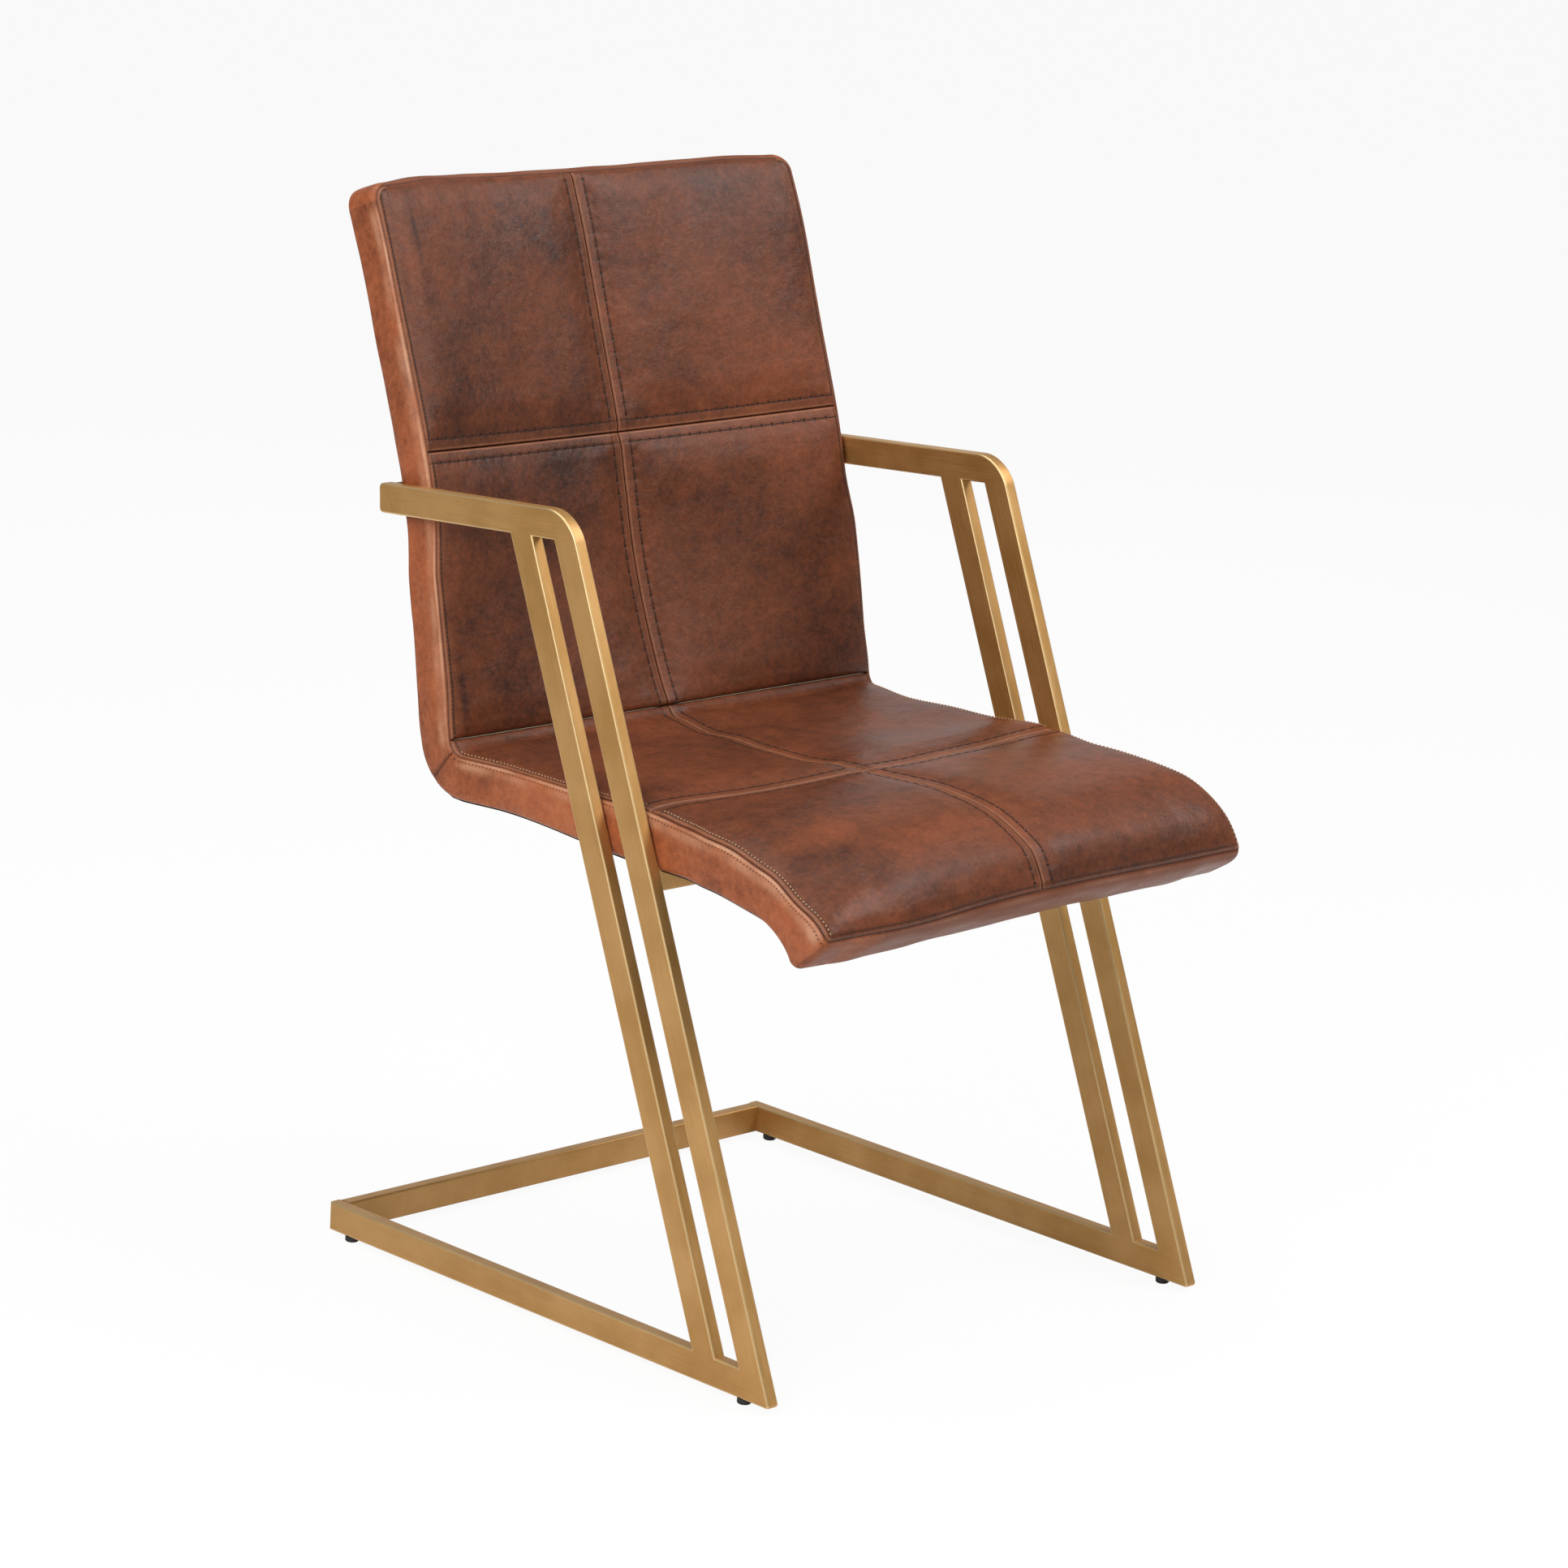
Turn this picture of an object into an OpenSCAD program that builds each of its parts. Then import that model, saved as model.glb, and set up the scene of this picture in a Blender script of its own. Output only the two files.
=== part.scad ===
// Accent chair: a padded, leather-covered shell carried in a frame of solid flat bar.
// Millimetres, +Z up. The chair faces -Y, and +X is on the sitter's left.
// The origin is on the floor, under the middle of the chair's outline.

/* [Frame] */
// Width over the outer faces of the two side frames
frame_w = 515; // [480:1:560]
// Depth of the flat bar, seen from the side
bar_d = 25; // [20:0.5:28]
// Thickness of the flat bar, seen from the front
bar_t = 12; // [9:0.5:15]
// Rounding of the bar's long edges
bar_edge = 2; // [1:0.25:3]
// Gap between the two uprights of a side, square to them
slot_w = 25; // [15:0.5:35]
// Length of a floor runner along the floor
runner_len = 545; // [525:1:570]
// Lean of the uprights from vertical, in degrees
upright_lean = 22.7; // [20:0.1:25]
// Height of the arm's underside where the rear upright meets it
arm_under = 653; // [635:1:670]
// Rise of the arm towards the front, in degrees
arm_rise = 4.1; // [2:0.1:6]
// Outer radius where the arm turns down into the front upright
arm_bend_r = 48; // [38:1:55]
// Rounding of the arm's rear end, seen from the side
arm_end_r = 4; // [2:0.5:6]

/* [Shell] */
// Thickness of the padded shell between its face and its back
shell_t = 39; // [34:0.5:44]
// Clearance between the shell's side and the side frame
side_gap = 4.5; // [2:0.5:8]
// Height of the top front edge of the back
back_top_h = 910; // [880:0.5:940]
// Height at which the back changes its lean
lumbar_h = 698; // [670:1:715]
// Lean of the upper back from vertical, in degrees
upper_lean = 21.5; // [18:0.5:24]
// Lean of the lower back from vertical, in degrees
lower_lean = 12; // [10:0.5:15]
// Radius of the bend between upper and lower back
lumbar_r = 500; // [300:10:700]
// Height of the seat's side edge above the floor
seat_h = 454; // [440:1:470]
// Distance of the crease between seat and back from the runner's rear end
crease_f = 123; // [110:1:135]
// Inner radius of the crease
crease_r = 12; // [8:1:18]
// Length of the level part of the seat, from the crease
seat_flat = 277; // [260:1:295]
// Radius of the first gentle fall of the seat's front
fall_r = 400; // [300:10:500]
// Angle of that first fall, in degrees
fall_turn = 8; // [6:0.5:10]
// Straight stretch between the two bends of the seat's front
fall_len = 40; // [30:1:50]
// Radius of the rounded seat front, on its face
nose_r = 100; // [85:1:115]
// Angle that the rounded seat front turns through, in degrees
nose_turn = 50; // [45:1:58]
// Radius of the back's two top corners, seen from the front
corner_r = 15; // [10:1:22]

/* [Upholstery] */
// Thickness of the leather
leather_t = 1.5; // [1:0.1:2]
// Thickness of the moulded plywood
ply_t = 12; // [9:0.5:14]
// Depth of the back's hollow at its top edge
top_dish = 21; // [12:0.5:24]
// Depth of the back's hollow at the lumbar seam
back_dish = 26; // [18:0.5:30]
// Depth of the seat's hollow behind the cross seam
seat_pocket = 11; // [6:0.5:13]
// Height of the seat's crown at its rounded front
front_crown = 13; // [6:0.5:16]
// Swell of each leather panel between its seams
panel_puff = 3; // [1:0.25:4]
// Swell of the boxing bands between their seams
band_puff = 2; // [1:0.25:3]
// Swell of the rounded lip along the seat's front end
lip_puff = 6; // [3:0.5:8]
// Distance of the seat's cross seam from the crease
seat_seam = 232; // [215:1:250]

/* [Fixings] */
// Diameter of the thread of the bolts that hold the shell
bolt_d = 6; // [5:0.5:8]
// Distance of the back bolts from the chair's middle
back_bolt_x = 140; // [100:5:170]
// Distance of the seat bolts from the chair's middle
seat_bolt_x = 170; // [120:5:200]
// Thickness of the bowed bar behind the back
back_bar_t = 8; // [5:0.5:9]
// Diameter of a floor glide
glide_d = 12; // [10:0.5:16]
// Height of a floor glide under the runner
glide_h = 5; // [3:0.5:8]
// Distance of the rear glides from the runner's rear end
glide_rear = 24; // [18:1:60]
// Distance of the front glides behind the runner's front tip
glide_front = 34; // [25:1:70]

/* [Hidden] */
$fn = 48;
// Clearance between soft layers
soft_gap = 0.3;
// Clearance between the bowed bar and the cover in front of it
bar_seat_gap = 0.5;
// Clearance round a bolt in its hole, on the radius
bolt_clear = 0.25;
// Radial clearance of a tee nut's barrel and flange in the plywood
nut_clear = 0.15;
// Wide enough to cut through the whole chair
big = 2000;

brass = "#B08D57";
leather_brown = "#6E4634";
leather_tan = "#A0603F";
ply_color = "#C9A26B";
foam_color = "#E8DFC8";
cover_color = "#5A3A2C";

function smooth(v) = let (c = min(1, max(0, v))) c * c * (3 - 2 * c);
function eased(a, b, n) = [for (i = [0:n]) a + (b - a) * (1 - cos(180 * i / n)) / 2];
function arc_len(r, turn) = PI * r * turn / 180;

// Side view of the shell's face: [length, turn] of each stretch, from the top edge
// down the back, round the crease, along the seat and over its front.
// Distances forward of the runner's rear end are called f.
lumbar_turn = upper_lean - lower_lean;
crease_turn = 90 - lower_lean;
lumbar_tan = lumbar_r * tan(lumbar_turn / 2);
crease_tan = crease_r * tan(crease_turn / 2);
lumbar_f = crease_f - (lumbar_h - seat_h) * tan(lower_lean);
top_f = lumbar_f - (back_top_h - lumbar_h) * tan(upper_lean);
STRETCHES = [
  [(back_top_h - lumbar_h) / cos(upper_lean) - lumbar_tan, 0],
  [arc_len(lumbar_r, lumbar_turn), -lumbar_turn],
  [(lumbar_h - seat_h) / cos(lower_lean) - lumbar_tan - crease_tan, 0],
  [arc_len(crease_r, crease_turn), crease_turn],
  [seat_flat - crease_tan, 0],
  [arc_len(fall_r, fall_turn), -fall_turn],
  [fall_len, 0],
  [arc_len(nose_r, nose_turn), -nose_turn]
];

// A place on the face line is [distance along it, f, z, heading].
function advance(p, l, turn) =
  let (r = turn == 0 ? 0 : l * 180 / (PI * turn))
  turn == 0
    ? [p[0] + l, p[1] + l * cos(p[3]), p[2] + l * sin(p[3]), p[3]]
    : [p[0] + l, p[1] + r * (sin(p[3] + turn) - sin(p[3])),
       p[2] - r * (cos(p[3] + turn) - cos(p[3])), p[3] + turn];
function knot(i) =
  i == 0 ? [0, top_f, back_top_h, upper_lean - 90]
         : advance(knot(i - 1), STRETCHES[i - 1][0], STRETCHES[i - 1][1]);
KNOTS = [for (i = [0:len(STRETCHES)]) knot(i)];
function stretch_at(s) = max([0, for (i = [0:len(STRETCHES) - 1]) if (KNOTS[i][0] <= s) i]);
function place(s) =
  let (i = stretch_at(s), g = STRETCHES[i], l = s - KNOTS[i][0])
  advance(KNOTS[i], l, g[1] * l / g[0]);

// Named distances along the face line
s_lumbar = KNOTS[1][0] + STRETCHES[1][0] / 2;
s_crease = KNOTS[3][0];
s_mitre = KNOTS[3][0] + STRETCHES[3][0] / 2;
s_seat = KNOTS[4][0];
s_cross = s_seat - crease_tan + seat_seam;
s_end = KNOTS[8][0];

// Half width of the shell, and how far its face stands in or out across the chair
half_w = frame_w / 2 - bar_t - side_gap;
function half_at(s, inset) =
  let (r = corner_r - inset, c = max(0, corner_r - s))
  half_w - corner_r + (c > 0 ? sqrt(max(0, r * r - c * c)) : r);
// The back keeps its full hollow for this stretch below the lumbar seam
dish_hold = 0.14 * lumbar_r;
// The seat's pocket and crown, as shares of the seat's level part
pocket_len = 0.74 * seat_flat;
crown_from = s_seat + 0.72 * seat_flat;
crown_len = 0.78 * seat_flat;
// Over this last stretch the crown falls back towards the front seam
crown_end = 0.35 * nose_r;
crown_fall = 0.55;
function dish(s) =
  s < s_crease
    ? -(top_dish + (back_dish - top_dish) * smooth(s / s_lumbar))
      * cos(90 * min(1, max(0, (s - s_lumbar - dish_hold) / (s_crease - s_lumbar - dish_hold))))
    : 0;
function seat_lift(s) =
  s < s_crease ? 0
  : -seat_pocket * sin(180 * min(1, (s - s_crease) / pocket_len))
    + front_crown * smooth((s - crown_from) / crown_len)
      * (1 - crown_fall * smooth((s - s_end + crown_end) / crown_end));
function across(x) = 1 - pow(x / half_w, 2);
function swell(u) = 1 - pow(abs(2 * u - 1), 6);

// Side view of the rounded lip under the seat's front seam, q from its top to its bottom
lip_qs = [0, 0.2, 0.5, 0.8, 1];
function lip_line(q, x, deep) =
  let (p = place(s_end), out = face_out(s_end, x) * (1 - q) - shell_t * q,
    o = soft_gap + deep * (leather_t + lip_puff * swell(q)))
  [p[1] - sin(p[3]) * out + cos(p[3]) * o, p[2] + cos(p[3]) * out + sin(p[3]) * o];

// The chair's outline from front to rear gives the origin.
rear_edge_f = top_f - cos(upper_lean) * (shell_t + top_dish);
front_edge_f = max([for (q = lip_qs) lip_line(q, 0, 1)[0]]);
mid_f = (front_edge_f + rear_edge_f) / 2;

// A point of the shell: s along the face line, x across, out square to the face
function shell_pt(s, x, out) =
  let (p = place(s))
  [x, mid_f - (p[1] - sin(p[3]) * out), p[2] + cos(p[3]) * out];

// Closed solid between two grids of points with the same rows and columns
// Cells before column mid take the other diagonal, so that both halves mirror each other.
function cell(i, j, cols, base, flip, mid) =
  let (a = base + i * cols + j, b = a + 1, c = a + cols, d = c + 1)
  j < mid
    ? (flip ? [[a, b, c], [b, d, c]] : [[a, c, b], [b, c, d]])
    : (flip ? [[a, b, d], [a, d, c]] : [[a, d, b], [a, c, d]]);
function wall(a, b, off, flip) =
  flip ? [[a, b, b + off], [a, b + off, a + off]] : [[a, b + off, b], [a, a + off, b + off]];
module grid_solid(outer, inner, rows, cols, mid = 0) {
  n = rows * cols;
  faces = concat(
    [for (i = [0:rows - 2], j = [0:cols - 2]) each cell(i, j, cols, 0, true, mid)],
    [for (i = [0:rows - 2], j = [0:cols - 2]) each cell(i, j, cols, n, false, mid)],
    [for (j = [0:cols - 2]) each wall(j, j + 1, n, false)],
    [for (j = [0:cols - 2]) each wall((rows - 1) * cols + j, (rows - 1) * cols + j + 1, n, true)],
    [for (i = [0:rows - 2]) each wall(i * cols, (i + 1) * cols, n, true)],
    [for (i = [0:rows - 2]) each wall(i * cols + cols - 1, (i + 1) * cols + cols - 1, n, false)]
  );
  polyhedron(points = concat(outer, inner), faces = faces);
}

// Rounded flat bar along +Z, centred: thickness along x, depth along y
module bar(l, t = bar_t, d = bar_d, r = bar_edge) {
  linear_extrude(l) {
    square([t - 2 * r, d], center = true);
    square([t, d - 2 * r], center = true);
    for (i = [-1, 1], j = [-1, 1]) translate([i * (t / 2 - r), j * (d / 2 - r)]) circle(r, $fn = 24);
  }
}

// Extrudes a side view drawn as [f, z] across the whole chair
module side_cut() {
  translate([-big / 2, mid_f, 0])
    rotate([90, 0, 90]) linear_extrude(big) mirror([1, 0]) children();
}

// Side frames
side_x = frame_w / 2 - bar_t / 2;
inner_x = frame_w / 2 - bar_t;
lean_k = tan(upright_lean);
bar_run = bar_d / cos(upright_lean);
slot_run = slot_w / cos(upright_lean);
runner_top = glide_h + bar_d;
// f of an upright's line that is off behind the front edge, at height z
function upright_f(off, z) = runner_len - off - lean_k * (z - glide_h);
arm_ref_f = upright_f(2 * bar_run + slot_run, arm_under);
arm_depth = bar_d / cos(arm_rise);
function arm_under_z(f) = arm_under + tan(arm_rise) * (f - arm_ref_f);
function arm_mid_z(f) = arm_under_z(f) + arm_depth / 2;
// Corner where the arm's top and the front upright's front edge would meet
bend_f = (runner_len - lean_k * (arm_under + arm_depth - glide_h - tan(arm_rise) * arm_ref_f))
  / (1 + lean_k * tan(arm_rise));
bend_z = arm_under_z(bend_f) + arm_depth;
bend_turn = 90 - upright_lean + arm_rise;
bend_tan = arm_bend_r * tan(bend_turn / 2);
bend_arm_pt = [bend_f - bend_tan * cos(arm_rise), bend_z - bend_tan * sin(arm_rise)];
bend_up_pt = [bend_f + bend_tan * sin(upright_lean), bend_z - bend_tan * cos(upright_lean)];
bend_centre = bend_arm_pt + arm_bend_r * [sin(arm_rise), -cos(arm_rise)];

module bend_corner() {
  difference() {
    polygon([bend_arm_pt, [bend_f, bend_z] + [bar_d, bar_d], bend_up_pt, bend_centre]);
    translate(bend_centre) circle(arm_bend_r, $fn = 96);
  }
}

// One upright between the runner's top and the arm's underside
module upright(side, off) {
  mid_off = off + bar_run / 2;
  intersection() {
    translate([side * side_x, mid_f - upright_f(mid_off, 0), 0])
      rotate([-upright_lean, 0, 0]) bar(big / 2);
    side_cut() difference() {
      polygon([
        [-big / 2, runner_top], [big / 2, runner_top],
        [big / 2, arm_under_z(big / 2)], [-big / 2, arm_under_z(-big / 2)]
      ]);
      bend_corner();
    }
  }
}

// The bowed bar lies where the shell's rear crosses the arm's middle height.
function rear_pt(s) = let (p = place(s)) [p[1] + sin(p[3]) * shell_t, p[2] - cos(p[3]) * shell_t];
function support_s(lo, hi, n) =
  let (m = (lo + hi) / 2, p = rear_pt(m))
  n == 0 ? m : p[1] > arm_mid_z(p[0]) ? support_s(m, hi, n - 1) : support_s(lo, m, n - 1);
s_support = support_s(0, s_crease, 24);
support = place(s_support);
support_pt = rear_pt(s_support);
support_dish = -dish(s_support);
support_r = (half_w * half_w + support_dish * support_dish) / (2 * support_dish);
support_lean = 90 + support[3];
arm_end_f = support_pt[0] - (back_bar_t + bar_seat_gap) * cos(support_lean)
  - bar_d / 2 * sin(support_lean);

module arm(side) {
  end_pt = [arm_end_f, arm_under_z(arm_end_f)];
  intersection() {
    translate([side * side_x, mid_f, 0]) translate([0, -end_pt[0], end_pt[1]])
      rotate([-arm_rise, 0, 0]) translate([0, 0, bar_d / 2]) rotate([90, 0, 0])
        translate([0, 0, -bar_d]) bar(big / 2);
    side_cut() difference() {
      polygon([
        end_pt, [bend_f + big / 10, arm_under_z(bend_f + big / 10)],
        [bend_f + big / 10, arm_under_z(bend_f + big / 10) + big / 10],
        end_pt + big / 10 * [-sin(arm_rise), cos(arm_rise)]
      ]);
      bend_corner();
      front_waste();
      arm_end_corners(end_pt);
    }
  }
}

// Everything in front of the front upright's front edge
module front_waste() {
  polygon([
    [upright_f(0, 0), 0], [upright_f(0, big), big],
    [upright_f(0, big) + big, big], [upright_f(0, 0) + big, 0]
  ]);
}

module arm_end_corners(end_pt) {
  translate(end_pt) rotate(arm_rise) for (m = [0, 1])
    translate([0, m * bar_d]) mirror([0, m]) difference() {
      translate([-1, -1]) square(arm_end_r + 1);
      translate([arm_end_r, arm_end_r]) circle(arm_end_r, $fn = 32);
    }
}

// Floor runner with a threaded hole for each glide's stem
stem_d = 6;
stem_len = 14;
stem_clear = 0.1;
glide_fs = [glide_rear, runner_len - glide_front];

module runner(side) {
  difference() {
    intersection() {
      translate([side * side_x, mid_f, glide_h + bar_d / 2]) rotate([90, 0, 0]) bar(big / 2);
      side_cut() polygon([
        [0, glide_h], [upright_f(0, glide_h), glide_h],
        [upright_f(0, runner_top), runner_top], [0, runner_top]
      ]);
    }
    for (f = glide_fs) translate([side * side_x, mid_f - f, glide_h - 1])
      cylinder(d = stem_d + 2 * stem_clear, h = stem_len + 2);
  }
}

module glides() {
  rim = 1;
  for (side = [-1, 1], f = glide_fs) translate([side * side_x, mid_f - f, 0]) {
    cylinder(d1 = glide_d - 2 * rim, d2 = glide_d, h = rim);
    translate([0, 0, rim]) cylinder(d = glide_d, h = glide_h - rim);
    translate([0, 0, glide_h - 1]) cylinder(d = stem_d, h = stem_len + 1);
  }
}

// Cross bars between the inner faces of the side frames
module cross_bar(f, z_low, holes = []) {
  difference() {
    translate([-inner_x, mid_f - f, z_low + bar_d / 2]) rotate([0, 90, 0]) rotate([0, 0, 90])
      bar(2 * inner_x);
    for (x = holes) translate([x, mid_f - f, z_low - 1]) cylinder(d = bolt_d + 2 * bolt_clear, h = bar_d + 2);
  }
}
seat_under = seat_h - shell_t;
seat_bar_f = upright_f(bar_run / 2, seat_under - bar_d / 2);

// Local frames of the bolts: +Z of each is square to the shell's face, at its rear skin
back_bolt_tilt = atan(2 * support_dish * back_bolt_x / (half_w * half_w));
module at_back_bolts() {
  lift = dish(s_support) * across(back_bolt_x) - shell_t;
  for (side = [-1, 1])
    translate(shell_pt(s_support, side * back_bolt_x, lift))
      rotate([-support[3], 0, 0]) rotate([0, -side * back_bolt_tilt, 0]) children();
}
module at_seat_bolts() {
  for (side = [-1, 1]) translate([side * seat_bolt_x, mid_f - seat_bar_f, seat_under]) children();
}

module support_bar() {
  centre_out = dish(s_support) - shell_t + support_r;
  face_r = support_r + bar_seat_gap;
  difference() {
    intersection() {
      translate(shell_pt(s_support, 0, centre_out)) rotate([-support[3], 0, 0]) rotate([90, 0, 0])
        rotate([0, 0, -90 - 30]) rotate_extrude(angle = 60, $fn = 720)
          translate([face_r, -bar_d / 2]) square([back_bar_t, bar_d]);
      cube([2 * inner_x, big, big], center = true);
    }
    at_back_bolts() translate([0, 0, -big / 20]) cylinder(d = bolt_d + 2 * bolt_clear, h = big / 10);
  }
}

// Bolts and tee nuts: the head bears on the bar, the nut's flange on the plywood
head_d = 1.7 * bolt_d;
head_h = 0.6 * bolt_d;
nut_d = bolt_d + 2;
nut_flange_d = 3 * bolt_d;
nut_flange_t = 1.2;
nut_len = 9;
ply_low = leather_t + soft_gap;
ply_high = ply_low + ply_t;

module bolt(grip) {
  difference() {
    union() {
      translate([0, 0, -grip - head_h]) cylinder(d = head_d, h = head_h);
      translate([0, 0, -grip - 0.5]) cylinder(d = bolt_d, h = grip + 0.5 + ply_high - nut_flange_t);
    }
    translate([0, 0, -grip - head_h - 1]) cylinder(d = head_d / 2, h = head_h / 2 + 1, $fn = 6);
  }
}

module tee_nut() {
  translate([0, 0, ply_high]) difference() {
    union() {
      translate([0, 0, -nut_flange_t]) cylinder(d = nut_flange_d, h = nut_flange_t);
      translate([0, 0, -nut_len]) cylinder(d = nut_d, h = nut_len);
    }
    translate([0, 0, -nut_len - 1]) cylinder(d = bolt_d + 2 * stem_clear, h = nut_len + 2);
  }
}

module nut_hole() {
  translate([0, 0, ply_high - nut_flange_t - nut_clear])
    cylinder(d = nut_flange_d + 2 * nut_clear, h = big / 100);
  translate([0, 0, -5]) cylinder(d = nut_d + 2 * nut_clear, h = ply_high + 5);
}
module bolt_hole() {
  translate([0, 0, -5]) cylinder(d = bolt_d + 2 * bolt_clear, h = ply_high + 5);
}

// Rows and columns that the layers share, so that they follow each other exactly
edge_in = leather_t + soft_gap;
seam = soft_gap / 2;
half_cols = 7;
half_vs = eased(0, 1, half_cols);
function inner_xs(s) =
  let (h = [for (v = half_vs) min(seam + v * (half_at(s, 0) - seam), half_at(s, edge_in))])
  concat([for (j = [half_cols:-1:1]) -h[j]], [0], [for (j = [1:half_cols]) h[j]]);
function steps(a, b, n) = [for (i = [1:n]) a + (b - a) * i / n];
top_rows = [edge_in + 0.2, corner_r / 2];
upper_rows = eased(corner_r, s_lumbar, 7);
lower_rows = eased(s_lumbar, s_crease, 7);
crease_rows = steps(s_crease, s_seat, 5);
rear_rows = eased(s_seat, s_cross, 7);
fall_rows = concat(steps(KNOTS[5][0], KNOTS[6][0], 2), [KNOTS[7][0]]);
nose_rows = steps(KNOTS[7][0], s_end - edge_in, 6);
cross_rows = [s_cross, s_cross + (KNOTS[5][0] - s_cross) / 4, KNOTS[5][0]];

// Layer between two heights, over the given rows and the chair's inner width
module layer(rows, top, low) {
  xs = [for (s = rows) inner_xs(s)];
  n = len(rows) - 1;
  grid_solid(
    [for (i = [0:n], x = xs[i]) shell_pt(rows[i], x, top(rows[i], x))],
    [for (i = [0:n], x = xs[i]) shell_pt(rows[i], x, low(rows[i], x))],
    len(rows), len(xs[0]), half_cols);
}

// Plywood shell, hollowed like the back and level under the seat
module plywood() {
  difference() {
    layer(
      concat(top_rows, upper_rows, tail(lower_rows), crease_rows, [KNOTS[5][0]], fall_rows, nose_rows),
      function (s, x) ply_high - shell_t + dish(s) * across(x),
      function (s, x) ply_low - shell_t + dish(s) * across(x));
    at_back_bolts() nut_hole();
    at_seat_bolts() nut_hole();
  }
}
function tail(list) = [for (i = [1:len(list) - 1]) list[i]];

// Leather face: out of the spine by the hollow or crown, and by each panel's swell
function face_out(s, x) = (dish(s) + seat_lift(s)) * across(x);
function panel_out(s, x, s0, s1) =
  face_out(s, x) + panel_puff * swell((s - s0) / (s1 - s0)) * swell(abs(x) / half_at(s, 0));

// Leather panel on one side of the middle seam, between s0 and s1
module panel(side, rows, s0, s1) {
  pts = function (deep) [for (s = rows, v = half_vs)
    let (x = seam + v * (half_at(s, 0) - seam), sc = min(max(s, s0 + seam), s1 - seam))
    shell_pt(sc, side * x, panel_out(s, x, s0, s1) - deep)];
  if (side > 0) grid_solid(pts(0), pts(leather_t), len(rows), len(half_vs));
  else grid_solid(pts(leather_t), pts(0), len(rows), len(half_vs));
}
upper_ss = concat([0], top_rows, upper_rows);
lower_ss = lower_rows;
seat_rear_ss = concat([s_crease], crease_rows, tail(rear_rows));
seat_front_ss = concat(cross_rows, fall_rows, nose_rows, [s_end]);

// Foam between the plywood and the leather; its two halves meet at the crease
module foam(rows, s0, s1, puffs) {
  layer([for (s = rows) min(max(s, s0), s1)],
    function (s, x) min([for (p = puffs) if (s >= p[0] && s <= p[1]) panel_out(s, x, p[0], p[1])])
      - leather_t - soft_gap,
    function (s, x) ply_high + soft_gap - shell_t + dish(s) * across(x));
}

// Boxing: the band of leather along a side, from s0 to s1
module boxing(side, ss) {
  qs = [0, 0.25, 0.5, 0.75, 1];
  low = leather_t + soft_gap - shell_t;
  high = -leather_t - soft_gap;
  outer = [for (s = ss, q = qs)
    shell_pt(s, side * (half_w + band_puff * swell(q) * 0.5), high + (low - high) * q)];
  inner = [for (s = ss, q = qs) shell_pt(s, side * (half_w - leather_t), high + (low - high) * q)];
  if (side > 0) grid_solid(outer, inner, len(ss), len(qs));
  else grid_solid(inner, outer, len(ss), len(qs));
}
back_box_ss = concat(eased(corner_r + soft_gap, s_lumbar, 5), eased(s_lumbar, s_crease, 4),
  [s_crease + (s_seat - s_crease) / 4, s_mitre]);

// Band over the back's top edge and round its two corners
module top_band() {
  bend = [for (i = [0:4]) 90 * i / 4];
  reach = half_w - corner_r;
  // Each stop is [s, x, direction outwards in s, in x]
  stops = concat(
    [for (a = bend) [corner_r - corner_r * sin(a), -reach - corner_r * cos(a), -sin(a), -cos(a)]],
    [for (i = [1:11]) [0, -reach + 2 * reach * i / 12, -1, 0]],
    [for (a = bend) [corner_r - corner_r * cos(a), reach + corner_r * sin(a), -cos(a), sin(a)]]);
  qs = [0, 0.25, 0.5, 0.75, 1];
  low = leather_t + soft_gap - shell_t;
  high = -leather_t - soft_gap;
  pts = function (step) [for (p = stops, q = qs)
    let (o = step == 0 ? -leather_t : band_puff * swell(q) * abs(p[2]))
    shell_pt(p[0] + p[2] * o, p[1] + p[3] * o, high + (low - high) * q + dish(0) * across(p[1]))];
  grid_solid(pts(1), pts(0), len(stops), len(qs));
}

// Band across the front end of the seat, under the front panels' lower seam
module front_band() {
  xs = [for (j = [-8:8]) j / 8 * half_w];
  pts = function (deep) [for (q = lip_qs, x = xs)
    let (p = lip_line(q, x, deep)) [x, mid_f - p[0], p[1]]];
  grid_solid(pts(1), pts(0), len(lip_qs), len(xs));
}

// Thin cover on the rear of the back, and the one under the seat
module outside_back() {
  rows = concat([0], top_rows, upper_rows, tail(lower_rows));
  xs = [for (s = rows) let (h = [for (v = half_vs) seam + v * (half_at(s, 0) - seam)])
    concat([for (j = [half_cols:-1:1]) -h[j]], [0], tail(h))];
  pts = function (h) [for (i = [0:len(rows) - 1], x = xs[i])
    shell_pt(rows[i], x, h - shell_t + dish(rows[i]) * across(x))];
  difference() {
    grid_solid(pts(leather_t), pts(0), len(rows), 2 * half_cols + 1, half_cols);
    at_back_bolts() bolt_hole();
  }
}
module underside() {
  steps = concat([s_crease + soft_gap], [for (i = [1:8]) s_crease + (s_seat - s_crease) * i / 8],
    [for (i = [0:4]) KNOTS[5][0] + (KNOTS[6][0] - KNOTS[5][0]) * i / 4],
    [for (i = [0:12]) KNOTS[7][0] + (s_end - KNOTS[7][0]) * i / 12]);
  line = function (h) [for (s = steps) let (p = place(s), o = h - shell_t)
    [p[1] - sin(p[3]) * o, p[2] + cos(p[3]) * o]];
  low = line(0);
  high = line(leather_t);
  difference() {
    intersection() {
      side_cut() polygon(concat(low, [for (i = [len(high) - 1:-1:0]) high[i]]));
      cube([2 * half_w, big, big], center = true);
    }
    at_seat_bolts() bolt_hole();
  }
}

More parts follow.
